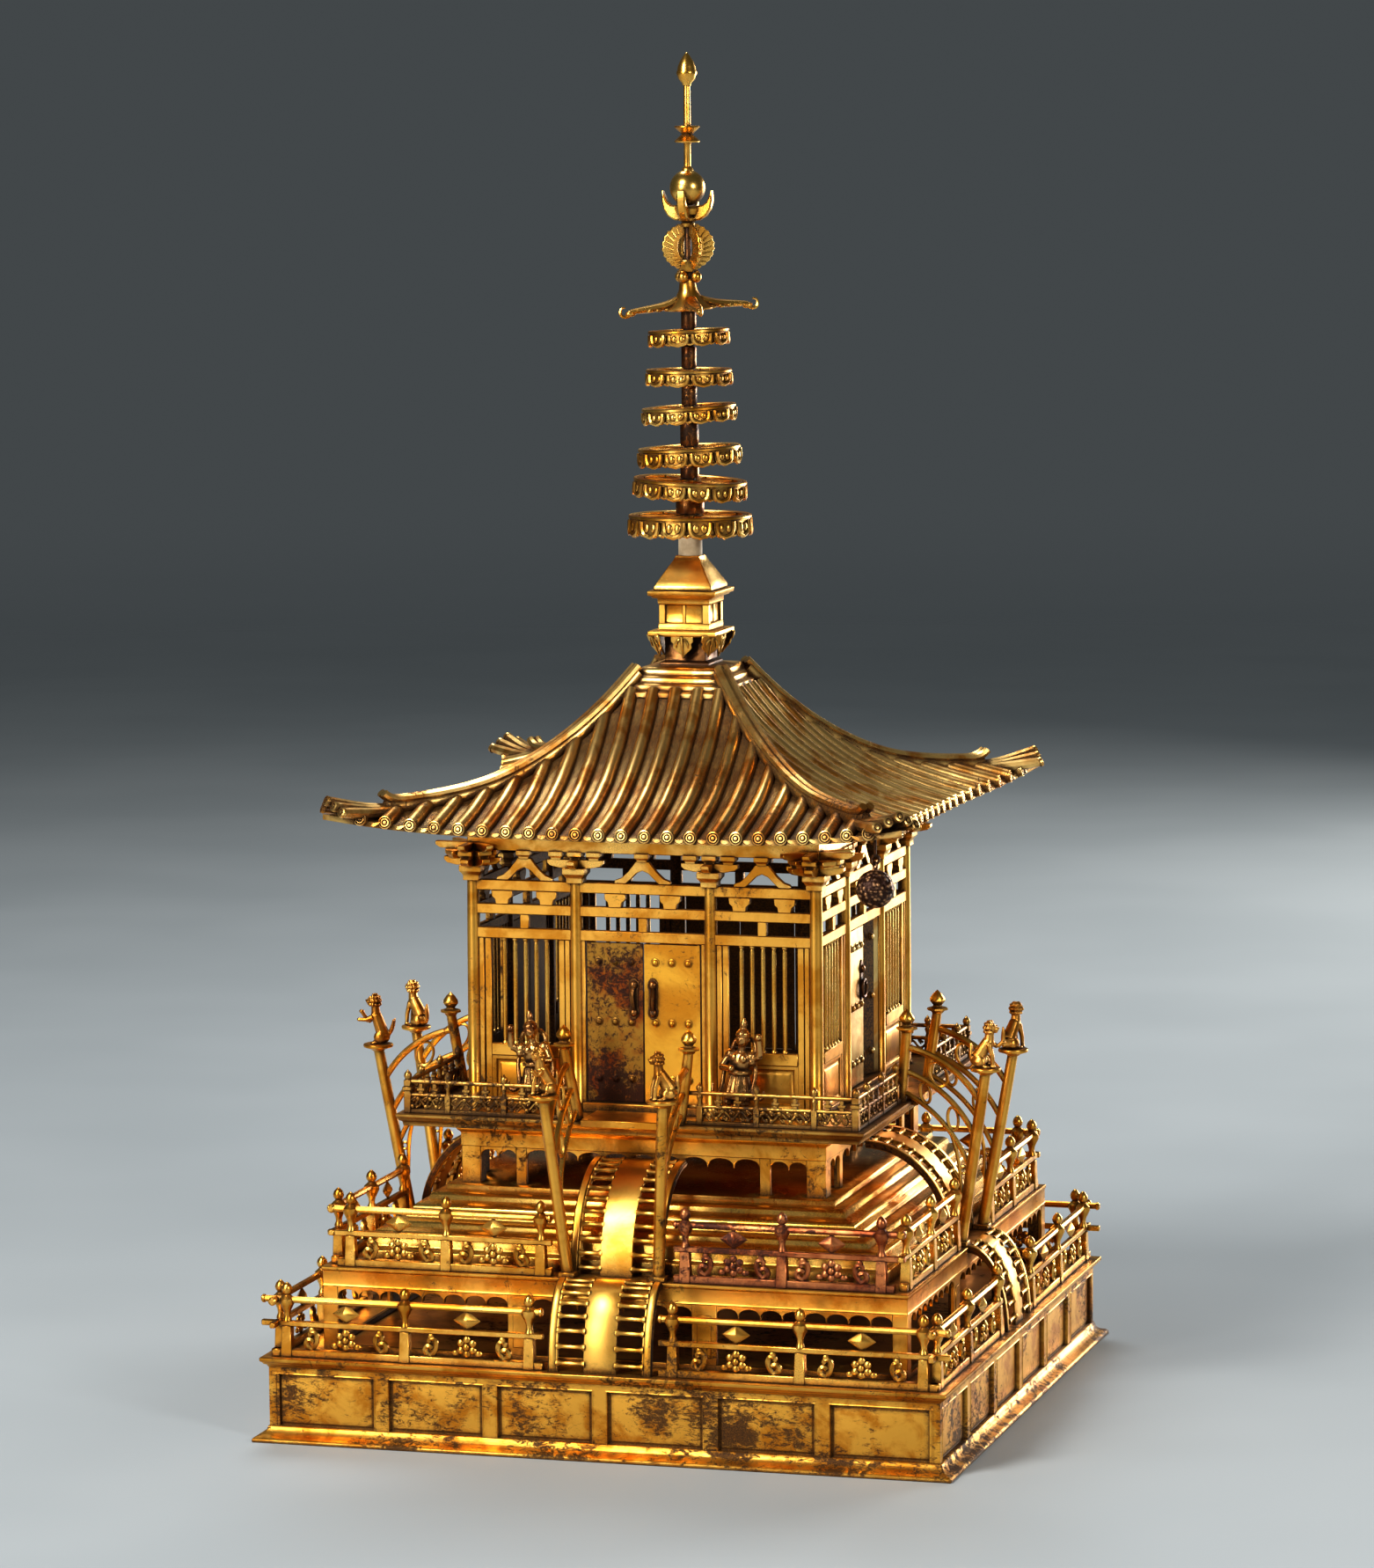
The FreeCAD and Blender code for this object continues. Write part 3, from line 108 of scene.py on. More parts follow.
# ------------------------------------------------------------------ modelling
class Work:
    """Bench work on one shape: a bmesh in millimetres, made with mesh operators."""

    def __init__(self) -> None:
        self.bm = bmesh.new()

    # -- bookkeeping
    def add(self, other: "Work", *places: Matrix) -> "Work":
        """Put copies of another shape into this one.

        Args:
            other: the shape to copy; it stays as it is.
            places: where each copy goes; none means as it lies.

        Returns:
            This shape.
        """
        source = bpy.data.meshes.new("source")
        other.bm.to_mesh(source)
        for place in places or (HERE,):
            copy = source.copy()
            copy.transform(place)
            if place.determinant() < 0:
                copy.flip_normals()
            self.bm.from_mesh(copy)
            bpy.data.meshes.remove(copy)
        bpy.data.meshes.remove(source)
        return self

    def moved(self, place: Matrix) -> "Work":
        """Move the whole shape and return it."""
        bmesh.ops.transform(self.bm, matrix=place, verts=self.bm.verts)
        if place.determinant() < 0:
            bmesh.ops.reverse_faces(self.bm, faces=self.bm.faces)
        return self

    def eased(self, edge: float, steps: int = 1, sharper: float = 30) -> "Work":
        """Bevel every edge that turns by more than an angle, and return the shape."""
        limit = math.radians(sharper)
        edges = [e for e in self.bm.edges if len(e.link_faces) == 2 and e.calc_face_angle(0) > limit]
        if edges and edge > 0:
            bmesh.ops.bevel(self.bm, geom=edges, offset=edge, offset_type="OFFSET", segments=steps,
                            profile=0.5, affect="EDGES", material=-1, clamp_overlap=True)
        return self

    def shelled(self) -> "Work":
        """Merge doubles and point the faces outwards."""
        bmesh.ops.remove_doubles(self.bm, verts=self.bm.verts, dist=WELD)
        bmesh.ops.recalc_face_normals(self.bm, faces=self.bm.faces)
        return self

    # -- shapes
    @staticmethod
    def box(low: Point, high: Point, edge: float = 0.3) -> "Work":
        """A bar or block between two corners, with eased edges."""
        work = Work()
        bmesh.ops.create_cube(work.bm, size=1.0)
        low, high = Vector(low), Vector(high)
        bmesh.ops.scale(work.bm, vec=high - low, verts=work.bm.verts)
        bmesh.ops.translate(work.bm, vec=(low + high) / 2, verts=work.bm.verts)
        return work.eased(min(edge, 0.3 * min(high - low)))

    @staticmethod
    def rod(start: Point, end: Point, radius: float, tip: float | None = None, sides: int = 12,
            edge: float = 0.0) -> "Work":
        """A round or tapered bar from start to end."""
        work = Work()
        start, end = Vector(start), Vector(end)
        way = end - start
        bmesh.ops.create_cone(work.bm, cap_ends=True, segments=sides, radius1=radius,
                              radius2=radius if tip is None else tip, depth=way.length)
        work.eased(edge, sharper=60)
        return work.moved(Matrix.Translation((start + end) / 2) @ aimed(way))

    @staticmethod
    def ball(middle: Point, size: float | Point, rings: int = 8) -> "Work":
        """A ball or an egg with the given half sizes."""
        work = Work()
        bmesh.ops.create_uvsphere(work.bm, u_segments=2 * rings, v_segments=rings, radius=1.0)
        half = Vector((size,) * 3) if isinstance(size, (int, float)) else Vector(size)
        bmesh.ops.scale(work.bm, vec=half, verts=work.bm.verts)
        bmesh.ops.translate(work.bm, vec=Vector(middle), verts=work.bm.verts)
        return work

    @staticmethod
    def lathe(outline: Iterable[Point], sides: int = 16, closed: bool = False) -> "Work":
        """A profile of (distance, height) points spun about the upright axis.

        Args:
            outline: the profile from bottom to top or round its loop.
            sides: how many flats the turned shape has.
            closed: whether the profile is a loop.

        Returns:
            The turned shape.
        """
        work = Work()
        verts = [work.bm.verts.new((r, 0, z)) for r, z in outline]
        pairs = list(zip(verts, verts[1:])) + ([(verts[-1], verts[0])] if closed else [])
        edges = [work.bm.edges.new(pair) for pair in pairs]
        bmesh.ops.spin(work.bm, geom=verts + edges, cent=(0, 0, 0), axis=(0, 0, 1), dvec=(0, 0, 0),
                       angle=TAU, steps=sides, use_merge=True, use_duplicate=False)
        return work.shelled()

    @staticmethod
    def square(outline: Iterable[Point], closed: bool = False, edge: float = 0.35) -> "Work":
        """A square moulding of (h, height) points, mitred at its corners."""
        work = Work.lathe([(h * math.sqrt(2), z) for h, z in outline], 4, closed)
        return work.moved(turn(45)).eased(edge, sharper=12)

    @staticmethod
    def plate(outline: Sequence[Point], thick: float, edge: float = 0.2) -> "Work":
        """A flat outline of (x, z) points given a thickness about y = 0."""
        work = Work()
        face = work.bm.faces.new([work.bm.verts.new((x, -thick / 2, z)) for x, z in outline])
        pushed = bmesh.ops.extrude_face_region(work.bm, geom=[face])
        far = [v for v in pushed["geom"] if isinstance(v, bmesh.types.BMVert)]
        bmesh.ops.translate(work.bm, vec=(0, thick, 0), verts=far)
        bmesh.ops.recalc_face_normals(work.bm, faces=work.bm.faces)
        return work.eased(edge, sharper=50)

    @staticmethod
    def sweep(points: Sequence[Point], radius: float, sizes: Sequence[float] = (), smooth: bool = True,
              ring: int = 2, closed: bool = False) -> "Work":
        """A round bar along a line of points.

        Args:
            points: the line.
            radius: half the bar's thickness.
            sizes: thickness at each point as a share of radius.
            smooth: whether the line is a smooth curve or straight runs.
            ring: how finely the bar is rounded.
            closed: whether the line is a loop.

        Returns:
            The bar.
        """
        data = bpy.data.curves.new("line", "CURVE")
        data.dimensions = "3D"
        data.bevel_depth = radius
        data.bevel_resolution = ring
        data.use_fill_caps = True
        data.resolution_u = 5
        spline = data.splines.new("NURBS" if smooth else "POLY")
        spline.points.add(len(points) - 1)
        for knot, point, size in zip(spline.points, points, list(sizes) or [1.0] * len(points)):
            knot.co = (*point, 1.0)
            knot.radius = size
        spline.use_cyclic_u = closed
        if smooth:
            spline.order_u = min(4, len(points))
            spline.use_endpoint_u = not closed
        holder = bpy.data.objects.new("line", data)
        mesh = bpy.data.meshes.new_from_object(holder)
        work = Work()
        work.bm.from_mesh(mesh)
        bpy.data.objects.remove(holder)
        bpy.data.curves.remove(data)
        bpy.data.meshes.remove(mesh)
        return work.shelled()

    def cast(self, grain: float, smooth: int = 2) -> "Work":
        """Melt overlapping masses into one cast skin.

        Args:
            grain: the finest detail that stays.
            smooth: how often the skin is smoothed.

        Returns:
            This shape, now a single skin.
        """
        mesh = bpy.data.meshes.new("cast")
        self.bm.to_mesh(mesh)
        holder = bpy.data.objects.new("cast", mesh)
        bpy.context.scene.collection.objects.link(holder)
        remesh = holder.modifiers.new("melt", "REMESH")
        remesh.mode = "VOXEL"
        remesh.voxel_size = grain
        graph = bpy.context.evaluated_depsgraph_get()
        skin = bpy.data.meshes.new_from_object(holder.evaluated_get(graph))
        self.bm.clear()
        self.bm.from_mesh(skin)
        for _ in range(smooth):
            bmesh.ops.smooth_vert(self.bm, verts=self.bm.verts, factor=0.5, use_axis_x=True,
                                  use_axis_y=True, use_axis_z=True)
        bpy.data.objects.remove(holder)
        bpy.data.meshes.remove(mesh)
        bpy.data.meshes.remove(skin)
        return self


@dataclass
class Maker:
    """Turns bench work into finished pieces of the shrine."""

    made: int = 0
    faces: int = 0

    def piece(self, name: str, work: Work, finish: "Finish", body: str = "shrine",
              stands_for: Sequence[str] = ()) -> bpy.types.Object:
        """Make a piece ride on its body, dressed in its finish.

        Args:
            name: the piece's name.
            work: its shape in millimetres.
            finish: its finish.
            body: the CAD body it rides on.
            stands_for: the CAD nodes it replaces.

        Returns:
            The finished object.
        """
        bm = work.bm
        bmesh.ops.scale(bm, vec=(MM, MM, MM), verts=bm.verts)
        for edge in bm.edges:
            edge.smooth = len(edge.link_faces) == 2 and edge.calc_face_angle(0) < SMOOTH_BELOW
        for face in bm.faces:
            face.smooth = True
        mesh = bpy.data.meshes.new(name)
        bm.to_mesh(mesh)
        bm.free()
        thing = bpy.data.objects.new(name, mesh)
        bpy.context.scene.collection.objects.link(thing)
        mesh.materials.append(finish.material())
        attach(thing, body)
        if stands_for:
            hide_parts(*stands_for)
        self.made += 1
        self.faces += len(mesh.polygons)
        LOG.info("%s: %d faces on %s", name, len(mesh.polygons), body)
        return thing


# ------------------------------------------------------------------ shading
class Value:
    """A number that travels through a shader, with ordinary arithmetic."""

    def __init__(self, shop: "Shader", socket: Any) -> None:
        self.shop = shop
        self.socket = socket

    def _sum(self, operation: str, left: Any, right: Any) -> "Value":
        """A maths node on two numbers.."""
        return self.shop.node("ShaderNodeMath", {"operation": operation}, {0: left, 1: right})

    def __add__(self, other: Any) -> "Value":
        """self + other."""
        return self._sum("ADD", self, other)

    __radd__ = __add__

    def __sub__(self, other: Any) -> "Value":
        """self - other."""
        return self._sum("SUBTRACT", self, other)

    def __rsub__(self, other: Any) -> "Value":
        """other - self."""
        return self._sum("SUBTRACT", other, self)

    def __mul__(self, other: Any) -> "Value":
        """self * other."""
        return self._sum("MULTIPLY", self, other)

    __rmul__ = __mul__

    def __pow__(self, other: Any) -> "Value":
        """self to a power."""
        return self._sum("POWER", self, other)

    def between(self, low: float, high: float) -> "Value":
        """0 below low, 1 above high, smooth between."""
        return self.shop.node("ShaderNodeMapRange", {"interpolation_type": "SMOOTHSTEP"},
                              {"Value": self, "From Min": low, "From Max": high})

    def capped(self) -> "Value":
        """Kept within 0 and 1."""
        return self.shop.node("ShaderNodeClamp", {}, {"Value": self})

    def most(self, other: Any) -> "Value":
        """The larger of two values."""
        return self._sum("MAXIMUM", self, other)

    def below(self, limit: float) -> "Value":
        """1 where the value is under a limit."""
        return self._sum("LESS_THAN", self, limit)

    def size(self) -> "Value":
        """The value without its sign."""
        return self._sum("ABSOLUTE", self, 0.0)


class Shader:
    """One material's node tree, built node by node."""

    def __init__(self, name: str) -> None:
        self.material = bpy.data.materials.new(name)
        self.material.use_nodes = True
        self.tree = self.material.node_tree
        self.tree.nodes.clear()

    def node(self, kind: str, settings: dict[str, Any], values: dict[Any, Any], out: Any = 0) -> Value:
        """Add a node.

        Args:
            kind: the node's type.
            settings: its properties, set first.
            values: its sockets' numbers, colours or links.
            out: which output to use.

        Returns:
            The chosen output.
        """
        made = self.tree.nodes.new(kind)
        for key, setting in settings.items():
            setattr(made, key, setting)
        for key, value in values.items():
            if isinstance(value, Value):
                self.tree.links.new(value.socket, made.inputs[key])
            else:
                made.inputs[key].default_value = value
        return Value(self, made.outputs[out])

    def place(self, stretch: Point = (1, 1, 1)) -> Value:
        """The place on the object, stretched for patterns that run one way."""
        here = self.node("ShaderNodeTexCoord", {}, {}, "Object")
        return self.node("ShaderNodeMapping", {}, {"Vector": here, "Scale": tuple(stretch)})

    def noise(self, scale: float, detail: float = 4, rough: float = 0.6, bend: float = 0.0,
              stretch: Point = (1, 1, 1)) -> Value:
        """Cloudy noise with features of about 1 / scale metres."""
        return self.node("ShaderNodeTexNoise", {}, {"Vector": self.place(stretch), "Scale": scale,
                                                    "Detail": detail, "Roughness": rough,
                                                    "Distortion": bend})

    def mix(self, share: Any, first: Any, second: Any) -> Value:
        """One colour blended into another."""
        return self.node("ShaderNodeMix", {"data_type": "RGBA"}, {0: share, 6: first, 7: second}, 2)

    def occlusion_shade(self, reach: float) -> Value:
        """Ambient occlusion as a mask for painted shade: 1 deep in corners and grooves, 0 on open faces."""
        light = self.node("ShaderNodeAmbientOcclusion", {"samples": 6}, {"Distance": reach}, "AO")
        return 1.0 - light

    def inside(self, rooms: Sequence[Point]) -> Value:
        """1 within closed rooms: a position mask for the shade painted inside them.

        Args:
            rooms: each room's half width, floor and ceiling in metres.

        Returns:
            The mask.
        """
        here = self.node("ShaderNodeTexCoord", {}, {}, "Object")
        x, y, z = (self.node("ShaderNodeSeparateXYZ", {}, {"Vector": here}, axis) for axis in "XYZ")
        across = x.size().most(y.size())
        mask = across.below(0.0)
        for half, low, high in rooms:
            mask = mask.most(across.below(half) * z.below(high) * (1.0 - z.below(low)))
        return mask

    def bump(self, strength: float, depth: float, height: Value) -> Value:
        """The normal of a surface with relief of a depth in metres."""
        return self.node("ShaderNodeBump", {}, {"Strength": strength, "Distance": depth, "Height": height},
                         "Normal")

    def finish(self, colour: Any, metal: Any, rough: Any, normal: Value,
               solid: Any = 1.0) -> bpy.types.Material:
        """Close the material with its surface shader."""
        values = {"Base Color": colour, "Metallic": metal, "Roughness": rough, "Normal": normal,
                  "Alpha": solid}
        surface = self.node("ShaderNodeBsdfPrincipled", {}, values)
        end = self.tree.nodes.new("ShaderNodeOutputMaterial")
        self.tree.links.new(surface.socket, end.inputs["Surface"])
        return self.material


Colour = tuple[float, float, float, float]


def colour(red: float, green: float, blue: float) -> Colour:
    """An opaque linear colour."""
    return (red, green, blue, 1.0)


@dataclass(frozen=True)
class Skin:
    """A named surface with its slot name; the kinds below say how it is mixed."""

    name: str
    slot: str = "gilt"

    def mixed(self, shop: Shader) -> bpy.types.Material:
        """The material that a shader's nodes make."""
        raise NotImplementedError

    def material(self) -> bpy.types.Material:
        """The surface's material, made once."""
        return bpy.data.materials.get(self.name) or self.mixed(Shader(self.name))


@dataclass(frozen=True)
class Finish(Skin):
    """A worn gilt surface: bright gold, warmer worn gold, patchy tarnish and painted shade in the recesses.

    bright, warm and dark are the three layers, dark also serving the painted shade; tarnish is how much of
    the open face has gone dark, the recess shade how strongly shade is painted into corners and grooves,
    satin the roughness of clean gold, and rooms the closed spaces whose surfaces are painted dark as shade.
    """

    bright: Colour = colour(0.90, 0.47, 0.085)
    warm: Colour = colour(0.62, 0.25, 0.025)
    # dark is the tarnish colour and also the colour of the painted shade
    dark: Colour = colour(0.022, 0.010, 0.004)
    tarnish: float = 0.34
    # strength of the shade painted into corners and grooves from ambient occlusion
    recess_shade: float = 1.35
    # how far, in metres, that painted occlusion shade reaches from a corner
    reach: float = 0.009
    satin: float = 0.24
    spots: float = 150.0
    clouds: float = 30.0
    dents: float = 0.35
    streak: Point = (1.0, 1.0, 1.0)
    # closed spaces (half width, floor, ceiling in metres) painted dark as shade
    rooms: Sequence[Point] = ((0.1660, 0.0476, 0.0925), (0.1040, 0.1341, 0.1690), (0.0992, 0.1770, 0.3310))

    def mixed(self, shop: Shader) -> bpy.types.Material:
        """Gold that turns to tarnish by patches and specks, and to painted shade in grooves and closed
        rooms.
        """
        cloud = shop.noise(self.clouds, 5, 0.62, 0.4)
        region = shop.noise(self.clouds * 0.5, 3, 0.5)
        patch = shop.noise(self.spots, 9, 0.80, 0.6, self.streak)
        fine = shop.noise(self.spots * 6, 3, 0.7)
        start = 0.64 - 0.28 * self.tarnish
        bare = (patch * 0.6 + region * 0.4).between(start, start + 0.06)
        # painted shade: ambient occlusion darkens corners and grooves, mixed with random tarnish patches
        shade_and_tarnish = (shop.occlusion_shade(self.reach) * 2.3 * self.recess_shade + (patch - 0.5) * 1.3).between(0.35, 0.95)
        speck = fine.between(0.62, 0.70) * region.between(0.42, 0.6)
        gold = shop.mix(cloud.between(0.42, 0.62), self.bright, self.warm)
        rust = tuple(0.30 * tone for tone in self.warm[:3]) + (1.0,)
        # one dark colour for both tarnish and painted shade
        stain_and_shade = shop.mix(fine.between(0.4, 0.65), self.dark, rust)
        # painted shade over everything inside the closed rooms
        room_shade = shop.inside(self.rooms)
        # where the gold goes dark: tarnish patches and specks plus painted shade
        tarnish_and_shade = bare.most(shade_and_tarnish).most(speck * 0.8).most(room_shade).capped()
        skin = shop.mix(tarnish_and_shade * 0.97, gold, stain_and_shade)
        rough = self.satin + cloud * 0.12 + fine * 0.05 + tarnish_and_shade * 0.32
        low = shop.noise(42, 2, 0.5)
        bump = low * 0.8 + patch * 0.12 + fine * 0.05 - tarnish_and_shade * 0.06
        return shop.finish(skin, 1.0 - tarnish_and_shade * 0.5, rough, shop.bump(self.dents, 0.0012, bump))


GILT = Finish("worn_gilding")
PLINTH_GILT = Finish("sheet_gilding", tarnish=0.50, recess_shade=1.6, reach=0.004, clouds=56, spots=300,
                     satin=0.30, dents=0.5, bright=colour(0.80, 0.42, 0.07),
                     warm=colour(0.54, 0.21, 0.02), streak=(0.6, 0.6, 1.3))
SHEET_GILT = Finish("plain_sheet_gilding", tarnish=0.18, satin=0.28, spots=260, dents=0.4,
                    bright=colour(0.92, 0.52, 0.11), warm=colour(0.70, 0.32, 0.04))
BRIGHT_GILT = Finish("bright_gilding", tarnish=0.08, satin=0.17, dents=0.22,
                     bright=colour(0.96, 0.58, 0.14), warm=colour(0.80, 0.38, 0.055))
ROOF_GILT = Finish("roof_gilding", slot="aged_gilt", bright=colour(1.0, 0.64, 0.22),
                   warm=colour(0.60, 0.25, 0.045), tarnish=0.30, recess_shade=2.4, reach=0.005, satin=0.24,
                   clouds=44, spots=230, streak=(1, 1, 0.6))
CAST_GILT = Finish("cast_gilding", bright=colour(0.98, 0.58, 0.15), tarnish=0.14, recess_shade=1.2,
                   reach=0.003, spots=260, satin=0.2)
BALCONY_GILT = Finish("balcony_gilding", tarnish=0.46, recess_shade=1.7, reach=0.005, spots=260,
                      bright=colour(0.60, 0.33, 0.08), warm=colour(0.34, 0.14, 0.025))
FIGURE_GILT = Finish("figure_gilding", slot="aged_gilt", bright=colour(0.92, 0.48, 0.11),
                     warm=colour(0.50, 0.19, 0.025), tarnish=0.28, recess_shade=1.4, reach=0.004, spots=260)
DARK_FIGURE = Finish("guardian_patina", slot="aged_gilt", bright=colour(0.62, 0.34, 0.11),
                     warm=colour(0.24, 0.09, 0.03), tarnish=0.46, recess_shade=1.6, reach=0.004, spots=300,
                     satin=0.18)
RAIL_GILT = Finish("rail_gilding", tarnish=0.32, recess_shade=1.2, reach=0.004, spots=240, satin=0.2,
                   bright=colour(0.95, 0.52, 0.11), warm=colour(0.62, 0.26, 0.03))
COPPER = Finish("bare_copper", slot="copper", bright=colour(0.72, 0.27, 0.10),
                warm=colour(0.34, 0.085, 0.03), dark=colour(0.045, 0.012, 0.007), tarnish=0.50,
                recess_shade=1.8, spots=240, reach=0.005)
DARK_LEAF = Finish("tarnished_leaf", slot="dark_bronze", bright=colour(0.36, 0.19, 0.035),
                   warm=colour(0.26, 0.06, 0.012), dark=colour(0.014, 0.006, 0.003), tarnish=0.60,
                   spots=330, clouds=46, satin=0.36)
GOLD_LEAF = Finish("gilt_leaf", tarnish=0.20, clouds=26, satin=0.32, spots=300,
                   bright=colour(0.82, 0.43, 0.055), warm=colour(0.58, 0.24, 0.022), dents=0.4)
# lighter copy of the leaf gold for the +X side's leaves: painted light for the strong lamp from behind right
PAINTED_LIGHT_LEAF = Finish("painted_light_leaf", tarnish=0.12, satin=0.24, bright=colour(0.90, 0.64, 0.24))
DARK_MAST = Finish("dark_mast", slot="aged_gilt", bright=colour(0.32, 0.14, 0.04),
                   warm=colour(0.13, 0.05, 0.018), tarnish=0.5, satin=0.2, spots=260)


@dataclass(frozen=True)
class SleeveFinish(Skin):
    """The matt buff sleeve below the wheels."""

    name: str = "buff_sleeve"
    slot: str = "pale_sleeve"
    pale: Colour = colour(0.62, 0.50, 0.33)
    worn: Colour = colour(0.44, 0.33, 0.20)

    def mixed(self, shop: Shader) -> bpy.types.Material:
        """Buff with cloudy wear and fine upright scratches."""
        cloud = shop.noise(120, 6, 0.6)
        lines = shop.noise(500, 3, 0.6, 0.0, (1, 1, 0.15))
        skin = shop.mix(cloud.between(0.35, 0.7), self.pale, self.worn)
        skin = shop.mix(lines.between(0.62, 0.8) * 0.5, skin, colour(0.2, 0.13, 0.08))
        return shop.finish(skin, 0.0, 0.55 + cloud * 0.2, shop.bump(0.3, 0.0004, lines))


@dataclass(frozen=True)
class BellFinish(Skin):
    """Dark patina over a chased ground of tight curls."""

    name: str = "chased_bell"
    slot: str = "dark_bronze"
    crest: Colour = colour(0.50, 0.27, 0.13)
    ground: Colour = colour(0.040, 0.016, 0.009)

    def mixed(self, shop: Shader) -> bpy.types.Material:
        """Brown crests over a dark ground of curls."""
        curls = shop.node("ShaderNodeTexVoronoi", {"feature": "SMOOTH_F1"},
                          {"Vector": shop.place(), "Scale": 420.0, "Smoothness": 0.4})
        fine = shop.noise(900, 4, 0.7)
        relief = 1.0 - curls * 1.4
        skin = shop.mix((relief + fine * 0.4).between(0.4, 1.1), self.ground, self.crest)
        return shop.finish(skin, 0.7, 0.38 + fine * 0.2, shop.bump(0.9, 0.0009, relief))


SLEEVE = SleeveFinish()
BELL_SKIN = BellFinish()


# ------------------------------------------------------------------ plinth, terrace, podium
def cusped(x0: float, x1: float, low: float, high: float, lobes: int, depth: float) -> list[Point]:
    """The outline of a hanging plate with round lobes cut into its lower edge.

    Args:
        x0: left end.
        x1: right end.
        low: height of the cusps' tips.
        high: height of the straight top edge.
        lobes: how many lobes.
        depth: how far each lobe rises above the tips.

    Returns:
        The outline's (x, z) points.
    """
    pitch = (x1 - x0) / lobes
    points: list[Point] = [(x1, high), (x0, high), (x0, low)]
    for lobe in range(lobes):
        left = x0 + lobe * pitch
        for step in range(1, 8):
            angle = math.pi * step / 8
            points.append((left + pitch / 2 * (1 - math.cos(angle)), low + depth * math.sin(angle) ** 0.7))
        points.append((left + pitch, low))
    return points


@dataclass
class Plinth:
    """Foot rim, panelled walls and deck."""

    wall: float = 192.0
    wall_top: float = 42.0
    grid_low: float = 4.0
    columns: int = 6
    pitch: float = 63.1
    margin: float = 5.0
    sink: float = 2.4
    deck: float = 47.4

    def rim(self) -> Work:
        """The flared foot."""
        foot = corner_of("foot_rim", 1).x
        inner = self.wall - 6
        return Work.square([(inner, 0), (foot, 0), (foot, 1.8), (foot - 1.0, 2.8), (foot - 4.0, 3.6),
                            (foot - 6.0, 5.0), (self.wall + 0.9, 7.6), (self.wall + 0.6, 8.6),
                            (inner, 8.6)], closed=True)

    def panelled_wall(self) -> Work:
        """One wall with sunk, moulded panels."""
        work = Work()
        bmesh.ops.create_grid(work.bm, x_segments=self.columns, y_segments=1, size=0.5)
        width = self.columns * self.pitch
        height = self.wall_top - self.grid_low
        bmesh.ops.scale(work.bm, vec=(width, height, 1), verts=work.bm.verts)
        work.moved(shift(0, -self.wall, self.grid_low + height / 2) @ turn(90, "X"))
        ends = [v for v in work.bm.verts if abs(abs(v.co.x) - width / 2) < 0.1]
        for vert in ends:
            vert.co.x = math.copysign(self.wall - 0.1, vert.co.x)
        panels = list(work.bm.faces)
        steps = ((self.margin, 0.0), (0.5, 0.3), (0.5, 0.0), (0.5, -0.3 - self.sink), (1.2, 0.0), (1.4, 0.5))
        for thickness, depth in steps:
            bmesh.ops.inset_individual(work.bm, faces=panels, thickness=thickness, depth=depth)
        work.eased(0.2, 2, 12)
        rim = [e for e in work.bm.edges if e.is_boundary]
        back = bmesh.ops.extrude_edge_only(work.bm, edges=rim)["geom"]
        far = [v for v in back if isinstance(v, bmesh.types.BMVert)]
        bmesh.ops.translate(work.bm, vec=(0, 6, 0), verts=far)
        bmesh.ops.contextual_create(work.bm, geom=[e for e in back if isinstance(e, bmesh.types.BMEdge)])
        bmesh.ops.recalc_face_normals(work.bm, faces=work.bm.faces)
        return work

    def deck_plate(self) -> Work:
        """The deck with its moulded edge."""
        return Work.square([(0, self.deck), (196.2, self.deck), (196.2, self.deck - 2.2),
                            (194.9, self.deck - 2.9), (194.6, self.deck - 3.8),
                            (193.0, self.deck - 4.4), (192.4, 41.6), (186, 41.6), (186, 44.2),
                            (0, 44.2)])

    def build(self, maker: Maker) -> None:
        """Make the plinth's pieces."""
        maker.piece("plinth_foot", self.rim(), PLINTH_GILT, stands_for=["foot_rim"])
        maker.piece("plinth_wall_panels", Work().add(self.panelled_wall(), *FOUR), PLINTH_GILT,
                    stands_for=["plinth_walls"])
        maker.piece("plinth_deck_plate", self.deck_plate(), GILT, stands_for=["plinth_deck"])


@dataclass
class Terrace:
    """Open arcade of the second level and its plate."""

    h: float = 168.0
    top: float = 95.0
    band: float = 84.0
    floor: float = 47.4
    skin: float = 3.6
    pier: Point = (46.0, 60.0)
    corner: float = 8.5

    def walls(self) -> Work:
        """Corner posts, piers, sills and cusped plates."""
        work = Work()
        out, near, far = -self.h, self.pier[0], self.pier[1]
        edge = self.h - self.corner
        work.add(Work.box((edge, out, self.floor), (self.h, -edge, self.band + 0.1)))
        work.add(Work.box((-edge, out + 0.4, self.floor), (edge, out + 4, self.floor + 3)))
        work.add(Work.box((near, out + 0.2, self.floor + 2.8), (far, out + 3.8, self.band + 0.1)), *BOTH)
        work.add(Work.box((near + 3, out - 0.3, self.floor + 7), (far - 3, out + 1, self.band - 6),
                          0.5), *BOTH)
        face = shift(0, out + self.skin / 2 + 0.3, 0)
        centre = Work.plate(cusped(-near, near, self.band - 7, self.band + 0.1, 7, 5.4), self.skin)
        side = Work.plate(cusped(far, edge, self.band - 7, self.band + 0.1, 8, 5.4), self.skin)
        work.add(centre, face)
        work.add(side, *[place @ face for place in BOTH])
        return Work().add(work, *FOUR)

    def plate(self) -> Work:
        """The terrace plate and its band."""
        return Work.square([(0, self.top), (self.h + 0.6, self.top), (self.h + 0.6, self.top - 1.8),
                            (self.h, self.top - 2.4), (self.h, self.band + 1), (self.h + 0.4, self.band),
                            (self.h - 4, self.band), (self.h - 4, self.top - 3), (0, self.top - 3)])

    def build(self, maker: Maker) -> None:
        """Make the terrace's pieces."""
        maker.piece("terrace_arcade", self.walls(), GILT, stands_for=["terrace_walls"])
        maker.piece("terrace_plate", self.plate(), GILT, stands_for=["terrace_top"])


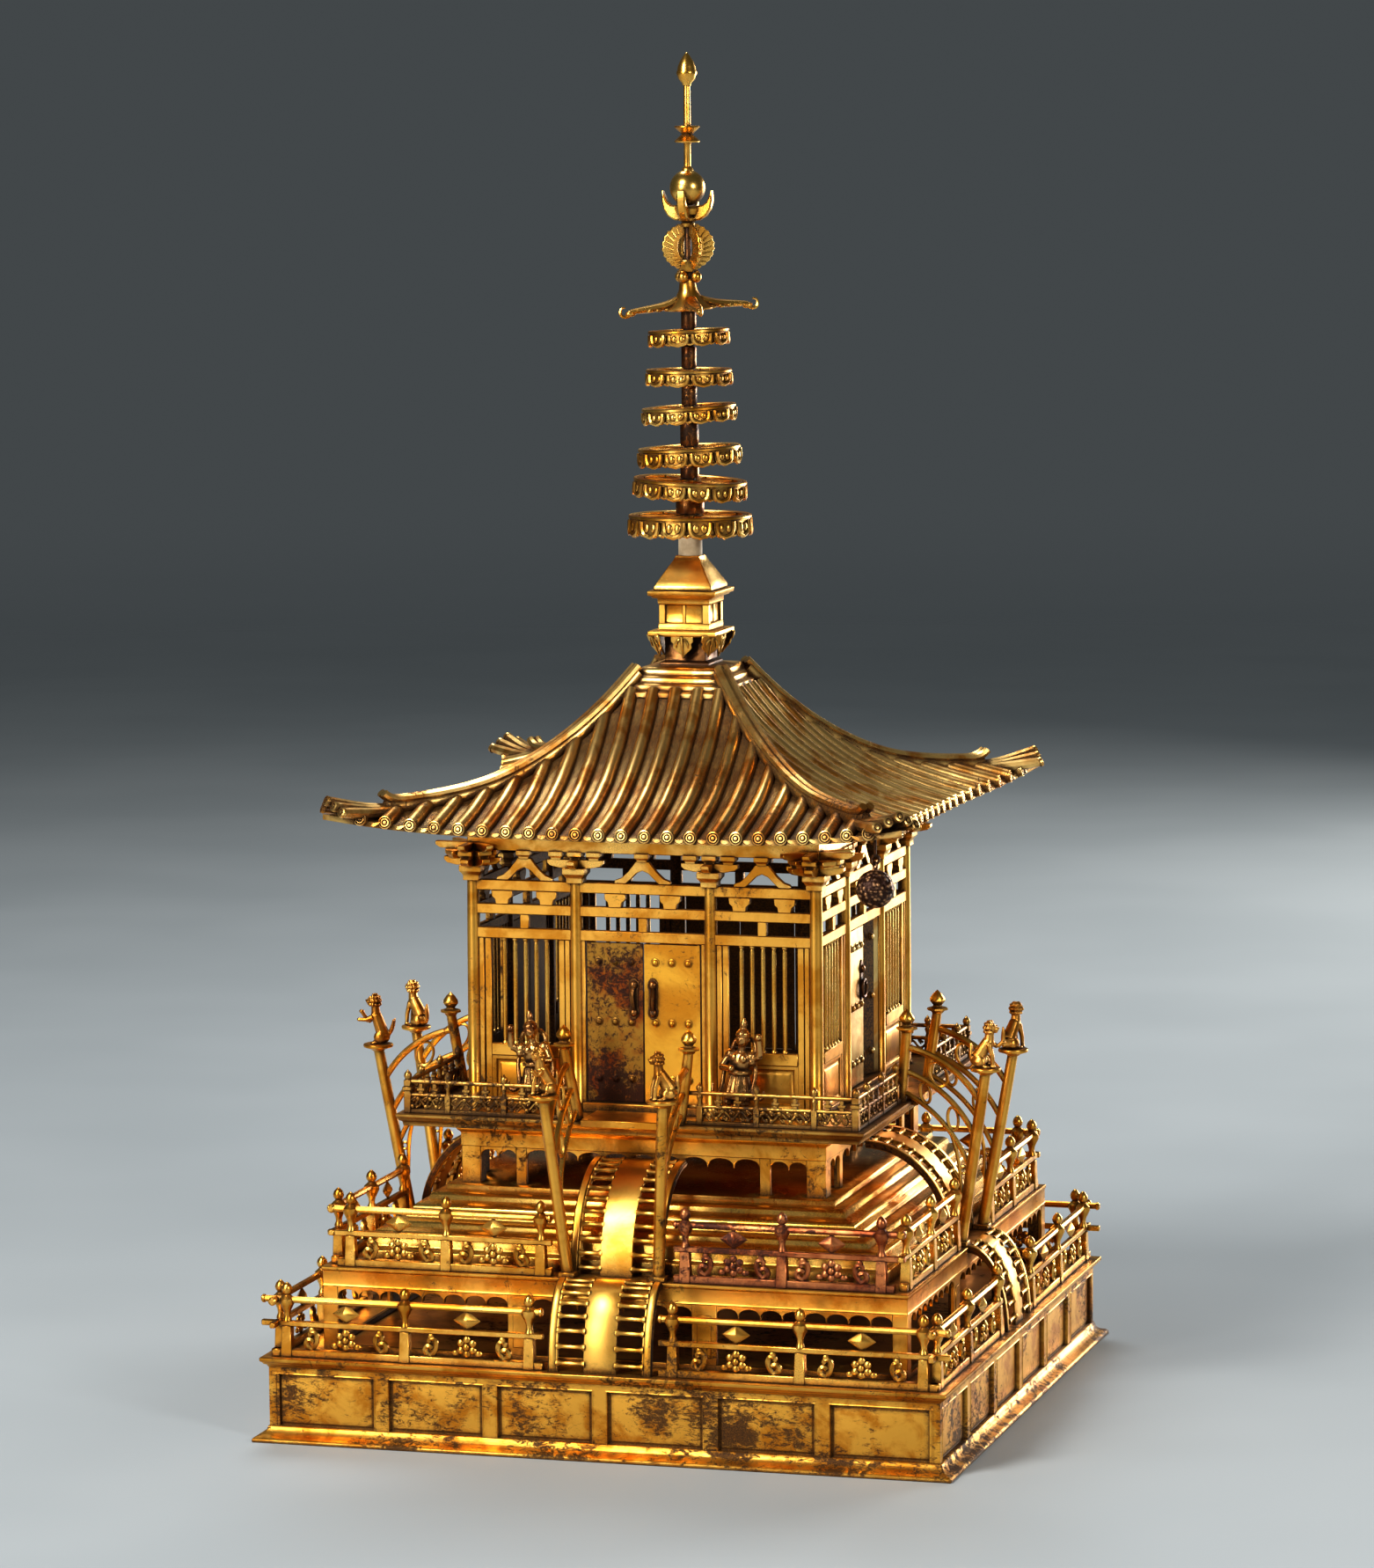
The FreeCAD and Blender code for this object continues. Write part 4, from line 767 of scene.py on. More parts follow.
@dataclass
class Podium:
    """Stepped mouldings and the arcade that carries the balcony."""

    base: float = 95.0
    top: float = 134.0
    wall: float = 106.0
    band: float = 155.0
    under: float = 169.7

    def steps(self) -> Work:
        """The stepped and waved mouldings."""
        bends = [math.radians(18 * k) for k in range(1, 6)]
        wave = [(128.4 - 3.0 * (1 - math.cos(bend)), 120.6 + 4.6 * math.sin(bend)) for bend in bends]
        return Work.square([(150, self.base), (150, 101.5), (149.2, 102.6), (147.4, 103.2), (147.0, 104.4),
                            (146.4, 110.6), (144.6, 112.4), (138.6, 113.4), (138.0, 115.8), (136.6, 116.8),
                            (131.2, 117.6), (130.8, 119.8)] + wave +
                           [(121.0, 126.4), (120.4, 129.0), (118.6, 130.4), (113.2, 131.2), (112.4, 134.0),
                            (0, 134.0)], edge=0.3)

    def arcade(self) -> Work:
        """Piers, cusped arches and band."""
        out, skin = -self.wall, 3.4
        work = Work()
        edge = self.wall - 11
        work.add(Work.box((edge, out, self.top), (self.wall, -edge, self.band + 0.2)))
        work.add(Work.box((68, out + 0.3, self.top), (74, out + 3.9, self.band + 0.2)), *BOTH)
        face = shift(0, out + skin / 2 + 0.3, 0)
        work.add(Work.plate(cusped(-68, 68, self.band - 6.5, self.band + 0.2, 9, 5.6), skin), face)
        small = Work.plate(cusped(74, edge, self.band - 6.5, self.band + 0.2, 2, 5.0), skin)
        work.add(small, *[place @ face for place in BOTH])
        whole = Work().add(work, *FOUR)
        band = Work.square([(self.wall - 4, self.band), (self.wall + 0.4, self.band),
                            (self.wall + 0.4, self.under - 7), (self.wall + 2.5, self.under - 5),
                            (self.wall + 3, self.under), (self.wall - 4, self.under)], closed=True)
        return whole.add(band)

    def build(self, maker: Maker) -> None:
        """Make the podium's pieces."""
        maker.piece("podium_steps", self.steps(), BRIGHT_GILT, stands_for=["stepped_podium"])
        maker.piece("arcade_storey", self.arcade(), GILT, stands_for=["arcade_walls"])


# ------------------------------------------------------------------ railings
@dataclass
class Railing:
    """One level of railing, eight runs that stop beside the bridges."""

    line: float
    base: float
    posts: Point
    span: Point
    sill: float = 4.3
    middle: float = 17.0
    top: float = 32.0

    def post(self) -> Work:
        """A tapered square post that turns into a waisted baluster with a bud."""
        work = Work.square([(0, 0), (3.1, 0), (3.1, 1.2), (2.6, self.middle + 0.4), (0, self.middle + 0.4)])
        rises = [(2.6, 3.0), (2.4, 4.2), (1.7, 6.0), (2.0, 8.4), (3.5, 11.6), (4.4, 13.4), (4.3, 15.6),
                 (2.8, 17.0), (1.8, 18.0), (2.8, 19.4), (3.1, 20.9), (2.5, 22.8), (1.1, 24.3),
                 (0, 25.0)]
        turned = [(0, self.middle + 3.0)] + [(r, self.middle + rise) for r, rise in rises]
        return work.add(Work.lathe(turned, 10))

    def lozenge(self) -> Work:
        """A faceted diamond, four-sided front and back."""
        low, high = self.middle + 3, self.top - 1.4
        cone = Work()
        bmesh.ops.create_cone(cone.bm, cap_ends=False, segments=4, radius1=1.0, radius2=0.22, depth=1.0)
        cone.moved(shift(0, 0, 0.5))
        tip = [e for e in cone.bm.edges if e.verts[0].co.z > 0.9 and e.is_boundary]
        bmesh.ops.holes_fill(cone.bm, edges=tip)
        work = Work().add(cone).add(cone, Matrix.Scale(-1, 4, Vector((0, 0, 1)))).shelled()
        size = Matrix.Diagonal((8.0, (high - low) / 2 + 0.2, 2.5, 1))
        return work.moved(shift(0, 0, (low + high) / 2) @ turn(90, "X") @ size)

    def flower(self) -> Work:
        """A six-petalled boss between two leaves."""
        work = Work.ball((0, -1.5, 0), (2.0, 1.5, 2.0), 5)
        petal = Work.ball((0, -0.6, 3.9), (2.2, 1.4, 2.4), 5)
        work.add(petal, *[turn(60 * k, "Y") for k in range(6)])
        leaf = Work.ball((6.6, -0.3, -3.6), (2.4, 1.2, 1.7), 4)
        return work.add(leaf, *BOTH)

    def scroll(self) -> Work:
        """An S-shaped leaf scroll between post and flower."""
        work = Work.sweep([(0, 0, -6.2), (-3.4, 0, -5.2), (-4.0, -0.4, -1.6), (-1.2, -0.8, 0.4),
                           (0.6, -0.4, -1.6)], 1.5, (1.0, 1.2, 1.1, 1.0, 1.1), ring=1)
        work.add(Work.sweep([(0, 0, -6.2), (2.8, 0, -2.6), (3.4, -0.4, 2.2), (0.8, -0.8, 4.6),
                             (-1.8, -0.4, 2.8), (-0.6, -0.4, 1.2)], 1.4, (1.0, 1.2, 1.1, 1.0, 1.0, 1.0),
                            ring=1))
        return work.add(Work.ball((0.2, -0.8, 5.0), (2.0, 1.4, 1.7), 4))

    def run(self) -> Work:
        """The run to the right of the front bridge."""
        start, end = self.span
        work = Work()
        work.add(Work.box((start, -2.4, 0), (end - 6, 2.4, self.sill), 0.5))
        work.add(Work.box((start, -1.6, self.middle), (end, 1.6, self.middle + 3.2), 0.5))
        work.add(Work.rod((start, 0, self.top), (end, 0, self.top), 1.9, sides=8, edge=0.4))
        for spot in (start + 1.2, end - 1.4):
            work.add(Work.rod((spot - 0.9, 0, self.top), (spot + 0.9, 0, self.top), 2.4, sides=12,
                              edge=0.4))
        work.add(self.post(), *in_row(self.posts))
        for near, far in zip(self.posts, self.posts[1:]):
            middle, quarter = (near + far) / 2, (far - near) * 0.29
            work.add(self.lozenge(), shift(middle))
            height = (self.sill + self.middle) / 2
            work.add(self.flower(), shift(middle, -0.4, height))
            work.add(self.scroll(), shift(middle - quarter, 0, height))
            work.add(self.scroll(), shift(middle + quarter, 0, height) @ FLIP)
        return work.moved(shift(0, -self.line, self.base))

    def runs(self, places: Iterable[Matrix]) -> Work:
        """Copies of the run."""
        return Work().add(self.run(), *places)


# ------------------------------------------------------------------ bridges
@dataclass
class Bridge:
    """An arched bridge: broad middle strip, turned rungs, stringers and dark cheeks."""

    half: float
    run: float
    rise: float
    top_h: float
    foot: float
    rungs: int
    strip: float = 9.2
    stringer: float = 3.6
    skin: float = 2.6

    def band(self, x0: float, x1: float, outer: float, thick: float) -> Work:
        """A curved band.

        Args:
            x0: its left edge.
            x1: its right edge.
            outer: how far its outside stands beyond the walking line.
            thick: its thickness.

        Returns:
            The band in place.
        """
        work = Work()
        bmesh.ops.create_grid(work.bm, x_segments=1, y_segments=1, size=0.5)
        radius = self.rise + outer
        bmesh.ops.scale(work.bm, vec=(x1 - x0, thick, 1), verts=work.bm.verts)
        bmesh.ops.translate(work.bm, vec=((x0 + x1) / 2, -radius + thick / 2, 0), verts=work.bm.verts)
        section = list(work.bm.faces) + list(work.bm.edges) + list(work.bm.verts)
        bmesh.ops.spin(work.bm, geom=section, cent=(0, 0, 0), axis=(1, 0, 0), dvec=(0, 0, 0),
                       angle=-math.pi / 2, steps=20, use_merge=False, use_duplicate=False)
        bmesh.ops.recalc_face_normals(work.bm, faces=work.bm.faces)
        work.eased(0.3, sharper=60)
        stretch = Matrix.Diagonal((1, self.run / self.rise, 1, 1))
        return work.moved(shift(0, -self.top_h, self.foot) @ stretch)

    def rung(self) -> Work:
        """A turned rung between strip and stringer."""
        near, far = self.strip - 0.6, self.half - self.stringer - 0.6
        outline = [(0, near), (2.0, near), (2.0, near + 1.4), (1.25, near + 2.4), (1.15, far - 2.4),
                   (1.9, far - 1.2), (1.9, far), (0, far)]
        return Work.lathe(outline, 8).moved(turn(90, "Y"))

    def span(self) -> Work:
        """Strip, stringers and rungs."""
        work = self.band(-self.strip, self.strip, 0.6, self.skin)
        inner = self.half - self.stringer
        work.add(self.band(inner, self.half, 0.9, 4.4), *BOTH)
        work.add(self.band(inner - 1.3, inner, 0.2, 2.6), *BOTH)
        bay = 90.0 / (self.rungs + 1)
        for k in range(self.rungs + 1):
            angle = math.radians(bay * (k + 0.6))
            place = shift(0, -self.top_h - self.run * math.cos(angle) * 0.985,
                          self.foot + self.rise * math.sin(angle) - 0.6)
            work.add(self.rung(), *[place @ side for side in BOTH])
        return work

    def cheeks(self) -> Work:
        """The dark outer faces of the stringers."""
        work = Work().add(self.band(self.half, self.half + 0.5, 0.2, 3.2), *BOTH)
        return work.add(self.band(self.half + 0.5, self.half + 0.9, -0.8, 1.0), *BOTH)


# ------------------------------------------------------------------ figures
@dataclass
class Beast:
    """A seated lion-like beast with a curled mane, facing out (-Y)."""

    grain: float = 0.36

    def head(self, place: Vector, dice: random.Random) -> Work:
        """A blunt head with ears and a cap of curls."""
        work = Work.ball(place, (3.0, 3.2, 3.0), 7)
        work.add(Work.ball(place + Vector((0, -2.8, -0.7)), (2.0, 1.9, 1.4), 5))
        work.add(Work.ball(place + Vector((0, -2.6, -2.2)), (1.5, 1.5, 0.8), 4))
        work.add(Work.ball(place + Vector((0, -4.5, 0.0)), (0.9, 0.6, 0.6), 4))
        for side in (-1, 1):
            work.add(Work.ball(place + Vector((side * 1.3, -2.9, 1.1)), (0.7, 0.6, 0.6), 4))
            work.add(Work.ball(place + Vector((side * 2.7, 0.2, 2.6)), (0.9, 0.8, 1.2), 4))
        tiers = ((-2.2, 3.5, 8), (0.0, 3.7, 9), (2.0, 3.1, 8), (3.3, 1.5, 5))
        for tier, (height, size, count) in enumerate(tiers):
            for k in range(count):
                angle = math.radians(-28 + 236 * (k + 0.5 * (tier % 2)) / count)
                curl = Vector((size * math.cos(angle), 0.3 + size * math.sin(angle), height))
                work.add(Work.ball(place + curl, dice.uniform(0.85, 1.1), 4))
        return work

    def seated(self, dice: random.Random, paw_up: bool) -> Work:
        """Sitting on its haunches with straight forelegs."""
        work = Work.ball((0, 3.8, 4.0), (4.0, 4.6, 4.0), 7)
        work.add(Work.rod((0, 4.2, 6.0), (0, -1.6, 15.4), 4.2, 3.3, 12))
        work.add(Work.ball((0, -2.0, 14.6), (3.2, 3.0, 4.0), 6))
        work.add(Work.rod((0, -2.0, 16.0), (0, -2.4, 21.0), 2.9, 2.5, 10))
        for side in (-1, 1):
            work.add(Work.ball((side * 3.3, 2.6, 3.6), (2.1, 3.9, 3.5), 6))
            work.add(Work.ball((side * 3.6, -1.4, 1.0), (1.4, 2.6, 1.1), 5))
            lifted = paw_up and side < 0
            knee = (side * 2.8, -6.2, 12.0) if lifted else (side * 2.4, -4.8, 7.0)
            paw = (side * 3.2, -9.0, 14.6) if lifted else (side * 2.4, -5.2, 1.2)
            work.add(Work.rod((side * 2.2, -2.6, 14.0), knee, 1.7, 1.3, 8))
            work.add(Work.rod(knee, paw, 1.3, 1.15, 8))
            work.add(Work.ball(paw, (1.4, 1.7, 1.1), 5))
        work.add(Work.sweep([(0, 7.6, 2.4), (0.4, 9.4, 6.0), (-0.4, 8.0, 10.0), (0, 9.0, 14.0)], 1.3,
                            (0.9, 1.2, 1.4, 0.3), ring=1))
        return work.add(self.head(Vector((0, -3.2, 23.0)), dice))

    def rearing(self, dice: random.Random) -> Work:
        """Half risen on its hind legs, forepaws stretched out, tail fanned."""
        work = Work.ball((0, 3.0, 4.6), (3.8, 4.2, 4.2), 7)
        work.add(Work.rod((0, 2.8, 6.0), (0, -1.0, 17.0), 3.9, 3.1, 12))
        work.add(Work.ball((0, -1.4, 16.4), (3.1, 2.9, 3.8), 6))
        work.add(Work.rod((0, -1.2, 18.0), (0, -1.6, 23.0), 2.7, 2.4, 10))
        for side in (-1, 1):
            work.add(Work.ball((side * 3.1, 1.6, 4.2), (2.0, 3.6, 3.8), 6))
            work.add(Work.ball((side * 3.2, -1.8, 1.0), (1.4, 2.4, 1.1), 5))
            knee = (side * 2.8, -6.4, 13.4 + side)
            paw = (side * 2.6, -10.4, 16.4 - 2 * side)
            work.add(Work.rod((side * 2.3, -2.4, 16.0), knee, 1.7, 1.3, 8))
            work.add(Work.rod(knee, paw, 1.3, 1.1, 8)).add(Work.ball(paw, (1.3, 1.6, 1.2), 5))
        for spread in (-1, 0, 1):
            work.add(Work.sweep([(0, 6.4, 6.0), (spread, 9.2, 9.6), (2.4 * spread, 9.6, 15.0)], 1.3,
                                (1, 1.1, 0.3), ring=1))
        return work.add(self.head(Vector((0, -2.4, 25.4)), dice))

    def shape(self, kind: int) -> Work:
        """Model one beast.

        Args:
            kind: 0 seated, 1 with a paw raised, 2 rearing; also varies its curls.

        Returns:
            The beast on the origin.
        """
        dice = random.Random(kind)
        work = self.rearing(dice) if kind == 2 else self.seated(dice, kind == 1)
        return work.cast(self.grain, 1)


@dataclass
class Guardian:
    """A stocky armoured guardian with a knotted scarf; the face is calm and plain."""

    grain: float = 0.38

    def head(self) -> Work:
        """A plain egg-shaped head with a tied-up topknot."""
        work = Work.rod((0, 0, 39), (0.4, -0.4, 44), 2.3, 2.0, 8)
        work.add(Work.ball((0.5, -0.8, 46.6), (3.5, 3.8, 4.4), 8))
        work.add(Work.ball((0.5, -4.5, 46.4), (0.5, 0.6, 1.1), 4))
        work.add(Work.ball((0.5, -4.1, 44.7), (1.0, 0.5, 0.4), 4))
        for side in (-1, 1):
            work.add(Work.ball((0.5 + side * 1.4, -4.1, 47.6), (0.7, 0.4, 0.4), 4))
            work.add(Work.ball((0.5 + side * 3.6, -0.2, 46.6), (0.7, 1.0, 1.3), 4))
        work.add(Work.lathe([(3.6, 48.2), (4.2, 48.8), (4.0, 50.4), (2.6, 52.0), (1.4, 53.0),
                             (2.0, 54.6), (1.6, 56.6), (0.5, 58.6), (0, 59.0)], 12), shift(0.5, -0.6))
        return work

    def limbs(self) -> Work:
        """Striding legs, one raised and one bent arm."""
        work = Work()
        for side, toe in ((-1, -2.6), (1, -0.6)):
            work.add(Work.ball((side * 5.6, toe - 1.4, 1.3), (2.1, 3.7, 1.5), 5))
            work.add(Work.rod((side * 5.4, toe, 1), (side * 4.4, toe, 12), 2.2, 2.8, 8))
            work.add(Work.rod((side * 4.8, toe, 10), (side * 2.8, 0, 20), 3.3, 3.9, 8))
            work.add(Work.ball((side * 6.4, 0, 37.4), (3.3, 3.2, 3.0), 6))
            work.add(Work.ball((side * 7.4, -0.2, 34.8), (2.7, 2.9, 2.6), 5))
        work.add(Work.rod((7.2, 0, 36.4), (12.0, -1.2, 39.0), 2.5, 2.1, 8))
        work.add(Work.rod((12.0, -1.2, 39.0), (11.2, -3.4, 48.6), 2.1, 1.6,
                          8)).add(Work.ball((11.2, -3.8, 49.6), 2.2, 5))
        work.add(Work.rod((-7.2, 0, 36.4), (-9.8, -3.6, 30.0), 2.5, 2.1, 8))
        work.add(Work.rod((-9.8, -3.6, 30.0), (-2.6, -7.4, 30.6), 2.0, 1.6,
                          8)).add(Work.ball((-2.0, -7.6, 30.8), 2.1, 5))
        return work

    def scarf(self) -> Work:
        """A scarf that loops behind the shoulders and hooks out at the hips."""
        work = Work.sweep([(-6.6, 2.6, 38), (-7.6, 4.8, 45), (0.4, 5.2, 48.4), (8.0, 4.8, 45),
                           (7.0, 2.6, 38)], 1.2, (1, 1.2, 1.3, 1.2, 1), ring=1)
        for side in (-1, 1):
            work.add(Work.sweep([(side * 7.6, 1.6, 36), (side * 10.6, 1.0, 28), (side * 8.0, -2.0, 19),
                                 (side * 12.4, -2.4, 12.6), (side * 16.6, -1.0, 16.0),
                                 (side * 15.4, 0, 19.6)], 1.15, (1, 1.2, 1.2, 1.3, 1.0, 0.5), ring=1))
        return work

    def shape(self) -> Work:
        """Model the right-hand figure facing out (-Y), feet on the origin."""
        work = self.limbs().add(self.head()).add(self.scarf())
        skirt = [(0, 13), (8.8, 13.4), (8.4, 17), (7.4, 21), (6.0, 25), (5.4, 27.5), (6.0, 28.4), (0, 30)]
        work.add(Work.lathe(skirt, 14).moved(Matrix.Diagonal((1, 0.82, 1, 1))))
        for k in range(9):
            angle = math.radians(40 * k)
            work.add(Work.rod((8.8 * math.cos(angle), 7.1 * math.sin(angle), 13.4),
                              (5.9 * math.cos(angle), 4.9 * math.sin(angle), 26.4), 1.0, 0.6, 6))
        work.add(Work.ball((0, 0, 34.0), (6.3, 4.8, 6.6), 8))
        work.add(Work.ball((2.6, -3.4, 36.0), (2.5, 1.6, 2.4), 5), *BOTH)
        work.add(Work.lathe([(5.2, 27.2), (7.0, 27.6), (7.0, 29.4), (5.2, 29.8)], 14, closed=True))
        work.add(Work.ball((0, -5.6, 28.4), (1.9, 1.1, 1.9), 5))
        lean = shift(1.0, 0, 0) @ turn(5, "Y") @ turn(-9)
        return work.cast(self.grain, 1).moved(lean)


# ------------------------------------------------------------------ balcony and stairs
@dataclass
class Balcony:
    """Floor, landings, low railing with pierced scroll panels, and the guardians."""

    h: float = 135.3
    top: float = 176.8
    under: float = 169.7
    line: float = 129.5
    posts: Point = (40.5, 73.0, 106.0)
    span: Point = (33.0, 129.5)

    def floor(self) -> Work:
        """The balcony plate with a moulded edge."""
        return Work.square([(0, self.top), (self.h, self.top), (self.h, self.top - 1.8),
                            (self.h - 0.9, self.top - 2.6), (self.h - 1.2, self.top - 3.8),
                            (self.h - 3.0, self.top - 4.6), (self.h - 3.4, self.under),
                            (0, self.under)])

    def vine(self, width: float, seed: int) -> Work:
        """A pierced panel of waving stems, curls and small blossoms."""
        dice = random.Random(seed)
        work = Work()
        low, high = 2.6, 9.6
        middle = (low + high) / 2
        waves = 3
        stem = [(-width / 2 + width * k / 18, -0.3 * math.cos(k),
                 middle + 2.4 * math.sin(TAU * waves * k / 18)) for k in range(19)]
        work.add(Work.sweep(stem, 0.75, ring=1))
        for k in range(2 * waves):
            x = -width / 2 + width * (k + 0.5) / (2 * waves)
            way = 1 if k % 2 else -1
            rolls = [(0.9 * t, 2.6 * (1 - 0.17 * t)) for t in range(6)]
            curl = [(x + reach * math.cos(roll + way), -0.6, middle + way * (1.2 + reach * math.sin(roll)))
                    for roll, reach in rolls]
            work.add(Work.sweep(curl, 0.7, (1, 1, 0.9, 0.9, 0.8, 1.3), ring=1))
            work.add(Work.ball((x + dice.uniform(-1, 1), -0.9, middle - way * 2.2), (1.3, 0.9, 1.2), 4))
        return work

    def railing(self) -> Work:
        """One run of the low railing, to the right of the landing."""
        start, end = self.span
        work = Work.box((start, -1.4, 0), (end, 1.4, 2.3), 0.35)
        work.add(Work.rod((start, 0, 10.2), (end, 0, 10.2), 1.15, sides=10))
        work.add(Work.rod((start, 0, 17.7), (end - 1.5, 0, 17.7), 1.25, sides=10, edge=0.3))
        post = Work.box((-1.7, -1.7, 0), (1.7, 1.7, 11), 0.35)
        post.add(Work.lathe([(0, 11), (1.4, 11), (1.0, 13), (1.9, 15.6), (1.3, 16.4), (1.3, 18.6),
                             (2.1, 20.4), (1.9, 21.6), (0, 24)], 10))
        work.add(post, *in_row(self.posts))
        stops = (start - 1.5,) + tuple(self.posts) + (end,)
        for number, (near, far) in enumerate(zip(stops, stops[1:])):
            if far - near > 20:
                work.add(self.vine(far - near - 3.6, 7 + number), shift((near + far) / 2))
                for share in (0.33, 0.67):
                    x = near + (far - near) * share
                    work.add(Work.box((x - 1.3, -1.2, 11), (x + 1.3, 1.2, 12.6), 0.25))
                    work.add(Work.box((x - 2.2, -1.3, 12.6), (x + 2.2, 1.3, 14.4), 0.3))
                    work.add(Work.box((x - 1.1, -1.0, 14.2), (x + 1.1, 1.0, 16.8), 0.25))
        return work.moved(shift(0, -self.line, self.top))

    def corner_post(self) -> Work:
        """The stacked post at a corner."""
        work = Work.box((-2, -2, 0), (2, 2, 13), 0.4)
        work.add(Work.box((-2.7, -2.7, 12.6), (2.7, 2.7, 15), 0.5))
        work.add(Work.box((-2, -2, 15), (2, 2, 18.8), 0.4))
        work.add(Work.lathe([(0, 18.6), (1.6, 18.8), (2.3, 20.8), (2.0, 22.2), (0, 24.6)], 10))
        return work.moved(shift(self.line, -self.line, self.top))

    def landing(self) -> Work:
        """Landing plate and threshold."""
        work = Work.box((-26, -139, self.top - 2.6), (26, -108, self.top + 1.8), 0.5)
        return work.add(Work.box((-35.2, -104, self.top - 0.2), (35.2, -95.5, 182.0), 0.5))

    def build(self, maker: Maker) -> None:
        """Make the balcony's pieces."""
        maker.piece("balcony_plate", self.floor(), BALCONY_GILT, stands_for=["balcony_floor"])
        rails = Work().add(self.railing(), *EIGHT).add(self.corner_post(), *FOUR)
        maker.piece("balcony_railing", rails, BALCONY_GILT,
                    stands_for=["balcony_posts", "balcony_rails", "balcony_panels"])
        maker.piece("landing_steps", Work().add(self.landing(), *FOUR), GILT, stands_for=["landings"])
        right = shift(56, -115, self.top)
        figures = Work().add(Guardian().shape(), *[side @ right for side in BOTH])
        maker.piece("guardian_figures", figures, DARK_FIGURE, stands_for=["guardians"])


